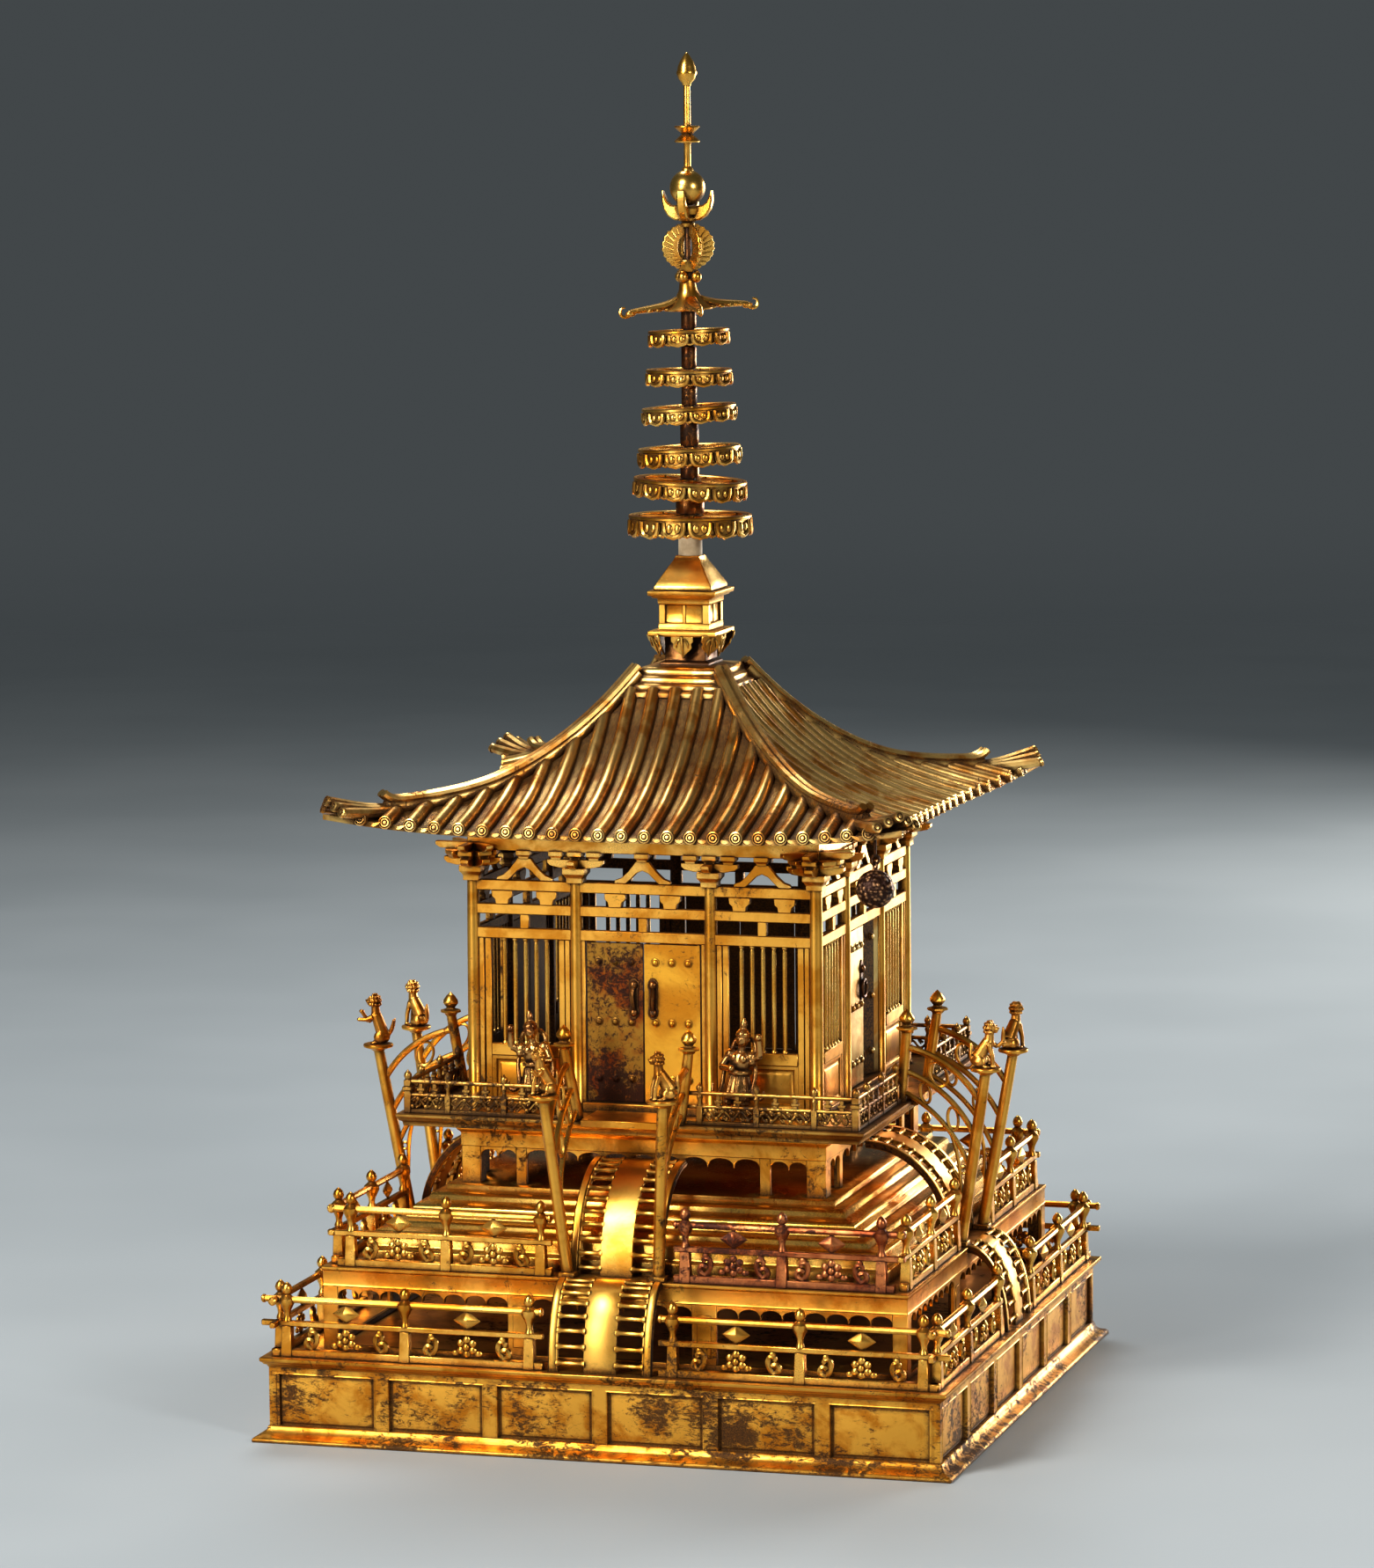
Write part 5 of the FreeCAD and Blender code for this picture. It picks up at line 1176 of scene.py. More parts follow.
@dataclass
class Stairs:
    """Leaning posts, bowed hand rails, scrolls and beasts."""

    outer_foot: Vector = field(default_factory=lambda: Vector((26.0, -163.4, 95.0)))
    outer_head: Vector = field(default_factory=lambda: Vector((34.0, -180.0, 197.0)))
    inner_foot: Vector = field(default_factory=lambda: Vector((29.5, -130.0, 176.8)))
    inner_head: Vector = field(default_factory=lambda: Vector((36.0, -135.0, 219.0)))
    rails: Sequence[Point] = ((209.0, 178.0), (195.0, 158.0), (183.0, 139.0))
    beast_kinds: Sequence[int] = (0, 1, 0, 1, 1, 0, 2, 0)
    beast_turns: Sequence[float] = (-56, 38, 62, 6, -30, 30, 4, 24)

    def leaning(self, foot: Vector, head: Vector, radius: float) -> Work:
        """An eight-sided leaning post."""
        work = Work()
        bmesh.ops.create_cone(work.bm, cap_ends=True, segments=8, radius1=radius * 1.08, radius2=radius,
                              depth=1.0)
        work.moved(turn(22.5)).moved(shift(0, 0, 0.5))
        work.eased(0.25, sharper=20)
        lean = Matrix.Identity(4)
        way = head - foot
        lean[0][2], lean[1][2], lean[2][2] = way.x, way.y, way.z
        return work.moved(Matrix.Translation(foot) @ lean)

    def on(self, outer: bool, z: float) -> Vector:
        """The point of a post's axis at a height."""
        foot, head = (self.outer_foot, self.outer_head) if outer else (self.inner_foot, self.inner_head)
        return foot + (head - foot) * ((z - foot.z) / (head.z - foot.z))

    def bow(self, start: Vector, end: Vector, rise: float) -> list[Vector]:
        """A bowed line from start to end."""
        across = Vector((0, -0.6, 0.8)) * rise
        return [start.lerp(end, t / 8) + across * 4 * (t / 8) * (1 - t / 8) for t in range(9)]

    def balustrade(self) -> Work:
        """Rails, loops and the lower strand on the right side of a stair."""
        work = Work()
        lines = [self.bow(self.on(False, high), self.on(True, low), 6.0) for high, low in self.rails]
        for line, size in zip(lines, (1.9, 1.7, 1.5)):
            work.add(Work.sweep(line, size))
        for share in (0.30, 0.60):
            top, low = lines[1][round(share * 8)], lines[2][round(share * 8)]
            middle, tall = (top + low) / 2, (top - low) / 2
            side = (lines[1][5] - lines[1][3]).normalized() * 4.2
            work.add(Work.sweep(oval(middle, tall * 0.8, side), 0.95, ring=1, closed=True))
        top, low = lines[0][3], lines[1][3]
        along = (lines[0][4] - lines[0][2]).normalized() * 6.5
        up = (top - low) * 0.42
        work.add(Work.sweep(oval((top + low) / 2, up, along), 0.9, ring=1, closed=True))
        strand = [self.on(True, z) + Vector((0, y, 0))
                  for z, y in ((147, 8.5), (136, 6.0), (123, 3.2), (112, 1.0))]
        work.add(Work.sweep([lines[2][5]] + strand, 1.2, (1, 1, 1, 0.9, 0.7), ring=1))
        knot = oval(self.on(True, 139) + Vector((0, 4.5, 0)), Vector((0, 2.0, 0)), Vector((0, 0, 2.2)), 8)
        return work.add(Work.sweep(knot, 0.8, ring=1, closed=True))

    def build(self, maker: Maker) -> None:
        """Make the stairs' pieces."""
        outer = self.leaning(self.outer_foot, self.outer_head, 3.3)
        disc = Work.lathe([(0, -2.2), (3.4, -2.2), (4.6, -1.2), (8.4, 0), (8.7, 0.8), (8.5, 1.7),
                           (7.6, 2.0), (0, 2.0)], 20)
        outer.add(disc, Matrix.Translation(self.outer_head))
        outer.add(Work.box((-4.6, -4.6, 0), (4.6, 4.6, 3.0), 0.5), Matrix.Translation(self.outer_foot))
        maker.piece("outer_posts", Work().add(outer, *EIGHT), GILT, stands_for=["outer_stair_posts"])
        inner = self.leaning(self.inner_foot, self.inner_head, 3.0)
        bud = Work.lathe([(0, -1.6), (3.2, -1.6), (4.0, -0.4), (6.2, 0.4), (6.0, 1.4), (3.0, 2.2),
                          (2.5, 3.0), (4.5, 5.4), (4.4, 7.0), (2.6, 9.6), (0, 12)], 8)
        inner.add(bud, Matrix.Translation(self.inner_head))
        maker.piece("inner_posts", Work().add(inner, *EIGHT), GILT, stands_for=["inner_stair_posts"])
        maker.piece("stair_balustrades", Work().add(self.balustrade(), *EIGHT), RAIL_GILT,
                    stands_for=["stair_handrails"])
        beasts = Work()
        seat = Matrix.Translation(self.outer_head + Vector((0, 0, 1.6)))
        kinds = [Beast().shape(kind) for kind in range(3)]
        for kind, turned, place in zip(self.beast_kinds, self.beast_turns, EIGHT):
            beasts.add(kinds[kind], place @ seat @ turn(turned))
        maker.piece("seated_beasts", beasts, FIGURE_GILT, stands_for=["post_beasts"])


# ------------------------------------------------------------------ hall
@dataclass
class Hall:
    """Columns, tie beams, windows, panels, brackets and doors."""

    h: float = 99.5
    floor: float = 176.8
    column_top: float = 309.0
    inner: float = 39.0
    beams: Sequence[Point] = ((300.0, 306.0), (286.7, 292.5), (273.0, 279.0))
    window_low: float = 213.4
    bars: int = 5
    bar_pitch: float = 6.2

    def columns(self) -> Work:
        """Twelve round columns with slight swelling."""
        outline = [(0, self.floor), (4.4, self.floor), (4.4, self.floor + 1.6), (3.8, self.floor + 2.4),
                   (3.85, 225.0), (3.7, 275.0), (3.4, self.column_top), (0, self.column_top)]
        column = Work.lathe(outline, 20)
        places = [shift(x, -self.h) for x in (-self.inner, self.inner, self.h)]
        return Work().add(column, *[quarter @ place for quarter in FOUR for place in places])

    def tie_beams(self) -> Work:
        """Three beams on each side with blocks and struts."""
        side = Work()
        for low, high in self.beams:
            side.add(Work.box((-self.h, -2.1, low), (self.h, 2.1, high), 0.45))
        low, high = self.beams[1][1], self.beams[0][0]
        block = Work.plate([(-3.6, low - 0.1), (3.6, low - 0.1), (4.0, low + 2.6), (5.8, low + 4.2),
                            (6.0, high + 0.1), (-6.0, high + 0.1), (-5.8, low + 4.2),
                            (-4.0, low + 2.6)], 5.2, 0.3)
        side.add(block, *in_row((-82, -56, -16, 16, 56, 82)))
        side.add(Work.box((-2.5, -2.2, self.beams[2][1] - 0.1), (2.5, 2.2, self.beams[1][0] + 0.1)),
                 *in_row((-69, 0, 69)))
        return Work().add(side, *[quarter @ shift(0, -self.h) for quarter in FOUR])

    def bay(self) -> Work:
        """The frame and panel of the bay to the right of the door."""
        top = self.beams[2][0] + 0.1
        work = Work()
        for x0, x1, out in ((42.6, 45.6, 1.7), (45.9, 49.4, 1.2), (89.0, 92.7, 1.2), (93.1, 96.0, 1.7)):
            work.add(Work.box((x0, -out, self.floor), (x1, out, top), 0.35))
        work.add(Work.box((49.2, -2.0, self.window_low - 6.9), (89.2, 2.0, self.window_low), 0.5))
        work.add(Work.box((49.2, -1.6, self.floor), (89.2, 1.6, self.floor + 3.2), 0.4))
        work.add(Work.box((33.7, -1.6, 181.8), (36.0, 1.6, top), 0.3))
        panel = Work.box((49.2, -0.9, self.floor + 3), (89.2, 0.9, self.window_low - 6.6), 0)
        front = [f for f in panel.bm.faces if f.normal.y < -0.5]
        for thickness, depth in ((3.4, 0.0), (0.8, -0.9), (2.2, 0.0), (1.2, 0.6)):
            bmesh.ops.inset_individual(panel.bm, faces=front, thickness=thickness, depth=depth)
        work.add(panel.eased(0.15, sharper=20))
        return work

    def window(self) -> Work:
        """Round bars of one window, each pinched at its ends."""
        low, high = self.window_low - 0.2, self.beams[2][0] + 0.2
        bar = Work.lathe([(0, low), (1.7, low), (1.7, low + 1), (1.1, low + 1.8), (1.35, low + 4),
                          (1.35, high - 4), (1.1, high - 1.8), (1.7, high - 1), (1.7, high), (0, high)],
                         10)
        start = 69 - self.bar_pitch * (self.bars - 1) / 2
        return Work().add(bar, *[shift(start + self.bar_pitch * k) for k in range(self.bars)])

    def brackets(self) -> Work:
        """Capitals, boat-shaped arms, blocks and curved struts below the eaves, with the purlins."""
        work = Work()
        cap = Work.square([(0, 305.5), (4.6, 305.5), (4.6, 308.2), (5.4, 309.6), (6.4, 310.8),
                           (6.4, 314), (0, 314)], edge=0.25)
        arm = [(-16.4, 318.6), (-16.4, 316.6), (-14.6, 315.0), (-9, 313.8), (9, 313.8), (14.6, 315.0),
               (16.4, 316.6), (16.4, 318.6)]
        block = Work.square([(0, 318.4), (2.8, 318.4), (3.0, 319.6), (4.1, 320.6), (4.1, 323),
                             (0, 323)], edge=0.2)
        upper = [(-24, 327), (-24, 325), (-21, 323.4), (-15, 322.8), (15, 322.8), (21, 323.4),
                 (24, 325), (24, 327)]
        stack = Work().add(cap).add(Work.plate(arm, 4.8, 0.3)).add(Work.plate(upper, 4.2, 0.3))
        stack.add(block, *in_row((-11, 0, 11)))
        stack.add(Work.plate([(x * 0.72, z) for x, z in arm], 4.4, 0.3), turn(90))
        work.add(stack, *in_row((-self.inner, self.inner), -self.h))
        ways = (HERE, turn(90), turn(45))
        corner = Work().add(cap).add(Work.plate(arm, 4.8, 0.3), *ways)
        corner.add(Work.plate([(x * 0.9, z) for x, z in upper], 4.2, 0.3), *ways)
        corner.add(block, *[turn(k * 45) @ shift(11) for k in range(8)])
        work.add(corner, shift(self.h, -self.h))
        leg = [(9.6, 306), (16.4, 306), (16.0, 307.8), (12.4, 309.0), (8.6, 312.4), (5.2, 316.6),
               (3.8, 318.6)]
        under = [(0, 313.4), (3.6, 311.8), (6.8, 308.6)]
        half = under[1:] + leg
        strut = under[:1] + half + [(-x, z) for x, z in reversed(leg)]
        strut += [(-x, z) for x, z in reversed(under[1:])]
        work.add(Work.plate(strut, 3.4, 0.3), *in_row((-69, 0, 69), -self.h))
        work.add(block, *in_row((-69, 0, 69), -self.h))
        whole = Work().add(work, *FOUR)
        return whole.add(Work.square([(97, 322.6), (102, 322.6), (102, 331.4), (97, 331.4)], closed=True))

    def leaf(self) -> Work:
        """The right-hand leaf of the front door with studs and pivots."""
        low, high = corner_of("front_door_right_leaf", 0), corner_of("front_door_right_leaf", 1)
        face = -self.h - 1.0
        work = Work.box((low.x, face, 182.6), (33.0, -self.h + 1.0, 272.4), 0.3)
        work.add(Work.rod((32, -self.h, low.z), (32, -self.h, high.z), 1.0, sides=12))
        stud = Work.lathe([(2.3, 0), (2.3, 0.35), (1.8, 0.6), (1.7, 1.2), (1.1, 1.8), (0, 2.1)], 12)
        stand = turn(90, "X")
        studs = [shift(x, face, z) @ stand for x in (7.0, 16.5, 26.0) for z in (196.0, 228.0, 262.0)]
        work.add(stud, *studs)
        return work

    def pull(self, ring_boss: bool) -> Work:
        """The plate by the meeting edge, with its bosses and either a handle or the ring's staple."""
        face = -self.h - 1.0
        half = [(1.0, 253.0), (2.6, 251.0), (3.0, 248.6), (2.3, 246.0), (2.3, 237.0), (3.0, 234.4),
                (2.6, 232.0), (1.0, 230.0)]
        outline = [(5.5 - x, z) for x, z in half] + [(5.5 + x, z) for x, z in reversed(half)]
        work = Work.plate(outline, 0.9, 0.2).moved(shift(0, face - 0.3))
        boss = Work.ball((0, 0, 0), (2.4, 1.9, 2.4), 6)
        if ring_boss:
            work.add(Work.rod((5.5, face, 240.0), (5.5, face - 3.6, 240.0), 0.8, sides=8))
            return work.add(boss, shift(5.5, face - 0.8, 248.0))
        work.add(boss, *[shift(5.5, face - 1.2, z) for z in (249.2, 233.6)])
        return work.add(Work.sweep([(5.5, face - 1.2, 248.0), (6.4, face - 3.4, 245.6),
                                    (5.8, face - 3.8, 241.0), (5.5, face - 2.6, 236.4),
                                    (5.5, face - 1.2, 234.4)], 1.2, ring=1))

    def doors(self, maker: Maker) -> None:
        """Make the eight leaves and the ring, each on its own body."""
        hinge = Vector((self.h, 32.0, 0))
        for quarter, side in enumerate(("front", "right", "back", "left")):
            for hand, place in (("right", HERE), ("left", FLIP)):
                node = f"{side}_door_{hand}_leaf"
                ringed = node == "right_door_left_leaf"
                spot = FOUR[quarter] @ place
                if node == "right_door_right_leaf":
                    spot = Matrix.Translation(hinge) @ turn(-22) @ Matrix.Translation(-hinge) @ spot
                finish = DARK_LEAF if node == "front_door_left_leaf" else GOLD_LEAF
                # the +X side's leaves take the lighter leaf gold as painted light
                if side == "right":
                    finish = PAINTED_LIGHT_LEAF
                maker.piece(f"{side}_{hand}_leaf", Work().add(self.leaf(), spot), finish, body=node,
                            stands_for=[node])
                maker.piece(f"{side}_{hand}_pull", Work().add(self.pull(ringed), spot), DARK_MAST,
                            body=node)
        low, high = corner_of("door_ring", 0), corner_of("door_ring", 1)
        ring = oval((low + high) / 2, Vector((0, 5.0, 0)), Vector((0, 0, 5.0)), 16)
        maker.piece("hanging_ring", Work.sweep(ring, 0.9, closed=True), DARK_MAST, body="door_ring",
                    stands_for=["door_ring"])

    def build(self, maker: Maker) -> None:
        """Make the hall's pieces."""
        maker.piece("round_columns", self.columns(), GILT, stands_for=["hall_columns"])
        maker.piece("tie_beams", self.tie_beams(), GILT, stands_for=["hall_beams"])
        sides = [place @ shift(0, -self.h) for place in EIGHT]
        maker.piece("bay_woodwork", Work().add(self.bay(), *sides), GILT, stands_for=["bay_frames"])
        maker.piece("window_rods", Work().add(self.window(), *sides), BRIGHT_GILT,
                    stands_for=["window_bars"])
        maker.piece("eave_brackets", self.brackets(), CAST_GILT, stands_for=["bracket_sets"])
        self.doors(maker)


# ------------------------------------------------------------------ roof
@dataclass
class Roof:
    """Curved slopes, cover tiles, end tiles and hips."""

    top_h: float = 22.0
    top_z: float = 419.0
    base_z: float = 322.0
    sweep: float = 63.0
    middle: float = 140.0
    flare: float = 25.0
    power: float = 3.4
    lift_start: float = 90.0
    lift_slope: float = 0.22
    pitch: float = 13.2
    each_way: int = 12
    hip_end: float = 136.0

    def height(self, x: float, h: float) -> float:
        """Height of the roof's surface."""
        line = self.base_z + (self.top_z - self.base_z) * math.exp(-(h - self.top_h) / self.sweep)
        reach = math.log1p(math.exp((h - self.lift_start) / 6.0)) * 6.0
        return line + self.lift_slope * reach * min(abs(x) / h, 1.0) ** 3

    def eave(self, x: float) -> float:
        """h of the eave at a given x."""
        h = self.middle
        for _ in range(30):
            h = self.middle + self.flare * min(abs(x) / h, 1.0) ** self.power
        return h

    def cover_row(self, x: float) -> Work:
        """One slightly wavering row of cover tiles with its rosette end tile."""
        dice = random.Random(round(abs(x)))
        start, end = max(abs(x) + 1.5, 31.0), self.eave(x) - 0.4
        count = max(3, round((end - start) / 9))
        line, sizes = [], []
        for k in range(count + 1):
            h = start + (end - start) * k / count
            sway = dice.uniform(-0.3, 0.3) if 0 < k < count else 0.0
            line.append((x + sway, -h, self.height(x, h) + 0.9))
            sizes.append(dice.uniform(0.94, 1.05))
        work = Work.sweep(line, 3.9, sizes, ring=3)
        disc = Work.lathe([(0, 1.9), (0.9, 1.8), (1.1, 1.1), (1.6, 1.1), (1.8, 1.7), (2.3, 1.7),
                           (2.5, 1.0), (2.9, 1.0), (3.1, 1.8), (3.7, 1.6), (3.9, -1.2), (0, -1.2)], 16)
        return work.add(disc, Matrix.Translation(line[-1]) @ shift(0, -0.4, -0.2) @ turn(82, "X"))

    def drip(self, x: float) -> Work:
        """A drip tile between two rows: a curved lip that hangs below the eave."""
        h = self.eave(x) - 0.6
        lip = [(-5.0, 0.8), (-3.4, -0.9), (-1.6, -2.1), (0, -2.6), (1.6, -2.1), (3.4, -0.9), (5.0, 0.8),
               (3.2, 0.2), (0, -0.3), (-3.2, 0.2)]
        return Work.plate(lip, 1.3, 0.2).moved(shift(x, -h, self.height(x, h) - 0.2) @ turn(-8, "X"))

    def slope(self) -> Work:
        """The cover rows and drips of the front slope."""
        work = Work()
        for number in range(-self.each_way, self.each_way + 1):
            x = number * self.pitch
            if self.eave(x) - abs(x) > 7:
                work.add(self.cover_row(x))
                if self.eave(x + self.pitch / 2) - abs(x + self.pitch / 2) > 5:
                    work.add(self.drip(x + self.pitch / 2))
        return work

    def hip(self) -> Work:
        """The ridge on one hip: twin strands on a bed, a curled end and fanned corner tiles."""
        steps = [self.top_h + 3 + (self.hip_end - self.top_h - 3) * k / 14 for k in range(15)]
        work = Work.sweep([(r, -r, self.height(r, r) + 1.6) for r in steps], 5.0, ring=3)
        tip = self.height(self.hip_end, self.hip_end)
        for side in (-1.5, 1.5):
            tail = [(self.hip_end + 3 + side, -self.hip_end - 3 + side, tip + 10.0)]
            strand = [(r + side, -r + side, self.height(r, r) + 5.6) for r in steps] + tail
            work.add(Work.sweep(strand, 2.5, ring=2))
        disc = Work.lathe([(0, 2.0), (1.2, 1.8), (1.5, 1.0), (2.2, 1.0), (2.5, 1.6), (3.6, 1.2),
                           (3.8, -1), (0, -1)], 14)
        end = Matrix.Translation((self.hip_end + 1.0, -self.hip_end - 1.0, tip + 3.0))
        work.add(disc, end @ turn(45) @ turn(78, "X"))
        reach = self.middle + self.flare
        for offset, lift in ((-12, 2.0), (-6, 4.2), (0, 6.2), (6, 4.2), (12, 2.0)):
            side = Vector((offset, offset, 0)) / math.sqrt(2)
            line = []
            for k in range(5):
                r = self.hip_end + 1 + (reach - abs(offset) * 0.2 - self.hip_end - 3) * k / 4
                spread = side * (0.45 + 0.55 * k / 4)
                rise = 1.0 + lift * (k / 4) ** 1.6 - abs(offset) * 0.10
                line.append((r + spread.x, -r + spread.y, self.height(r, r) + rise))
            work.add(Work.sweep(line, 3.0, (1.0, 1.0, 1.0, 1.1, 0.9), ring=2))
            facing = turn(45 + offset * 1.2) @ turn(66, "X") @ Matrix.Scale(0.8, 4)
            work.add(disc, Matrix.Translation(line[-1]) @ facing)
        return work

    def crown(self) -> Work:
        """The stepped mouldings where the four slopes end under the finial."""
        return Work.square([(0, 403), (34.6, 403), (34.4, 405.6), (33.0, 406.6), (31.2, 406.9),
                            (30.8, 409.4), (29.6, 410.5), (28.0, 410.8), (27.6, 413.3), (26.3, 414.6),
                            (24.8, 415.0), (24.2, 417.6), (22.8, 419.2), (18.0, 419.8), (0, 420.2)],
                           edge=0.3)

    def build(self, maker: Maker) -> None:
        """Make the roof's pieces."""
        maker.piece("cover_tiles", Work().add(self.slope(), *FOUR), ROOF_GILT, stands_for=["roof_tiles"])
        maker.piece("hip_crests", Work().add(self.hip(), *FOUR), ROOF_GILT, stands_for=["hip_ridges"])
        maker.piece("roof_crown", self.crown(), ROOF_GILT)
        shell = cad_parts["roof_shell"]
        shell.data.materials.clear()
        shell.data.materials.append(ROOF_GILT.material())


# ------------------------------------------------------------------ finial
@dataclass
class Finial:
    """Everything above the roof."""

    wheels: Sequence[Point] = ((35.1, 492.3, 504.8), (32.3, 513.8, 524.8), (29.2, 532.3, 543.3),
                               (26.9, 556.8, 566.3), (24.5, 577.7, 587.2), (23.0, 600.1, 609.6))
    tilts: Sequence[Point] = ((0, 0), (-3.0, 0.4), (2.6, 0.6), (3.4, 0.8), (0.4, 0), (2.6, -0.5))
    sleeves: Point = (8.3, 5.5, 5.4, 4.5, 4.4, 4.4)
    core: float = 3.2
    arm_turn: float = 26.0
    knob_turn: float = -17.0
    flame_turn: float = 42.0
    claw_turn: float = 0.0

    def pedestal(self) -> Work:
        """The mouldings and the pilastered box."""
        work = Work.square([(0, 436.4), (19.4, 436.4), (20.0, 437.2), (19.8, 439.4), (15.4, 439.9),
                            (14.9, 440.4), (14.9, 443.5), (13.4, 444.0), (13.3, 453.8), (14.6, 454.2),
                            (15.2, 455.0), (15.3, 457.6), (17.8, 458.3), (18.2, 459.2), (19.9, 459.6),
                            (20.1, 462.2), (0, 462.6)], edge=0.25)
        post = Work.box((11.0, -14.7, 443.4), (14.7, -11.0, 454.4), 0.35)
        stile = Work.box((-0.9, -13.9, 443.6), (0.9, -13.0, 454.2), 0.25)
        return work.add(post, *FOUR).add(stile, *FOUR)

    def neck(self) -> Work:
        """The dark core between the roof and the pedestal."""
        return Work.square([(0, 419.6), (14.5, 419.6), (14.5, 421.4), (12.0, 422.2), (12.0, 436.5),
                            (0, 436.5)])

    def leaves(self) -> Work:
        """Hanging leaves at the corners and the middles of the lower plate."""
        half = [(6.4, 0.6), (6.6, -3.0), (5.2, -4.4), (5.6, -6.8), (3.4, -9.0), (1.2, -11.0)]
        leaf = Work.plate([(-x, z) for x, z in half] + [(0, -13.2)] + list(reversed(half)), 1.1, 0.25)
        leaf.add(Work.sweep([(0, -0.7, 0), (0, -1.2, -5), (0, -0.7, -11.5)], 0.7, (1.2, 1, 0.4), ring=1))
        for side in (-1, 1):
            leaf.add(Work.sweep([(side * 1.4, -0.6, -1.6), (side * 3.9, -1.0, -3.0),
                                 (side * 3.4, -0.9, -6.6)], 0.6, (1.2, 1, 0.4), ring=1))
        work = Work().add(leaf, *[quarter @ shift(0, -18.8, 436.6) @ turn(13, "X") for quarter in FOUR])
        corner = turn(45) @ shift(0, -24.8, 436.8) @ turn(22, "X")
        return work.add(leaf, *[quarter @ corner for quarter in FOUR])

    def dome(self) -> Work:
        """The polished square dome with softly bulging faces."""
        work = Work.square([(0, 462.4), (17.0, 462.4), (17.2, 463.4), (16.8, 464.8), (15.6, 467.0),
                            (14.1, 469.4), (12.5, 472.0), (10.9, 474.6), (9.3, 477.0), (8.0, 479.0),
                            (7.2, 480.6), (7.0, 481.6), (0, 481.8)], edge=0)
        ridge = [e for e in work.bm.edges if all(abs(abs(v.co.x) - abs(v.co.y)) < 0.1 < abs(v.co.x)
                                                 for v in e.verts)]
        bmesh.ops.bevel(work.bm, geom=ridge, offset=1.0, offset_type="OFFSET", segments=3, profile=0.5,
                        affect="EDGES", material=-1, clamp_overlap=True)
        return work

    def mast(self) -> Work:
        """The core rod, slim inside the flame, and the faceted spacer sleeves."""
        work = Work.lathe([(0, 481.5), (self.core, 481.5), (self.core, 643.0), (1.7, 645.0), (1.7, 667.6),
                           (self.core, 669.4), (self.core, 671.2), (0, 671.2)], 24)
        lows = [top + 0.4 for radius, low, top in self.wheels]
        highs = [low - 0.4 for radius, low, top in self.wheels[1:]] + [621.0]
        for radius, low, high in zip(self.sleeves, lows, highs):
            outline = [(self.core, low), (radius * 0.96, low), (radius, low + 0.5), (radius, high - 0.5),
                       (radius * 0.96, high), (self.core, high)]
            work.add(Work.lathe(outline, 12))
        return work

    def petal(self, width: float, tall: float) -> Work:
        """A hanging lotus petal with rolled edges and two eyes."""
        half = [(0.49, 0.0), (0.51, -0.34), (0.44, -0.68), (0.30, -0.90), (0.13, -0.92)]
        outline = [(-x * width, z * tall) for x, z in half] + [(0, -tall)]
        outline += [(x * width, z * tall) for x, z in reversed(half)]
        work = Work.plate(outline, 1.2, 0.3)
        roll = [(0.41, -0.04), (0.43, -0.45), (0.31, -0.78), (0.13, -0.80), (0.0, -0.90)]
        line = [(-x * width, -0.8, z * tall) for x, z in roll]
        line += [(x * width, -0.8, z * tall) for x, z in roll[-2::-1]]
        work.add(Work.sweep(line, 0.085 * width, ring=1))
        eye = Work.ball((0.17 * width, -0.9, -0.38 * tall), (0.13 * width, 0.9, 0.26 * tall), 5)
        return work.add(eye, *BOTH)

    def wheel(self, radius: float, low: float, high: float) -> Work:
        """A wheel with a grooved rim, spokes, a hub and a skirt of lotus petals."""
        rim = [(radius - 5.2, high - 1.6), (radius - 5.2, high - 0.4), (radius - 4.6, high),
               (radius - 2.6, high), (radius - 2.3, high - 0.35), (radius - 1.9, high),
               (radius - 0.4, high), (radius, high - 0.5), (radius, high - 1.5),
               (radius - 0.9, high - 1.9), (radius - 0.9, high - 2.6), (radius - 3.0, high - 2.6)]
        work = Work.lathe(rim, 56, closed=True)
        bore = self.core + 0.35
        hub = [(bore, low + 1.0), (5.2, low + 1.0), (6.2, low + 2.2), (5.0, low + 4.0), (4.9, high - 2.2),
               (6.4, high - 1.2), (6.4, high - 0.3), (bore, high - 0.3)]
        work.add(Work.lathe(hub, 20, closed=True))
        spoke = Work.box((5.2, -1.2, high - 2.0), (radius - 4.0, 1.2, high - 0.5), 0.3)
        work.add(spoke, *[turn(45 * k) for k in range(8)])
        count = 14 if radius > 30 else 12 if radius > 26 else 10
        width = TAU * (radius - 0.8) / count
        petal = self.petal(width * 0.92, high - 2.2 - low)
        behind = self.petal(width * 0.60, (high - 2.2 - low) * 0.93)
        for k in range(2 * count):
            leaf, inset = (behind, 3.0) if k % 2 else (petal, 1.9)
            work.add(leaf, turn(180 * k / count) @ shift(0, inset - radius, high - 2.2) @ turn(-3, "X"))
        return work

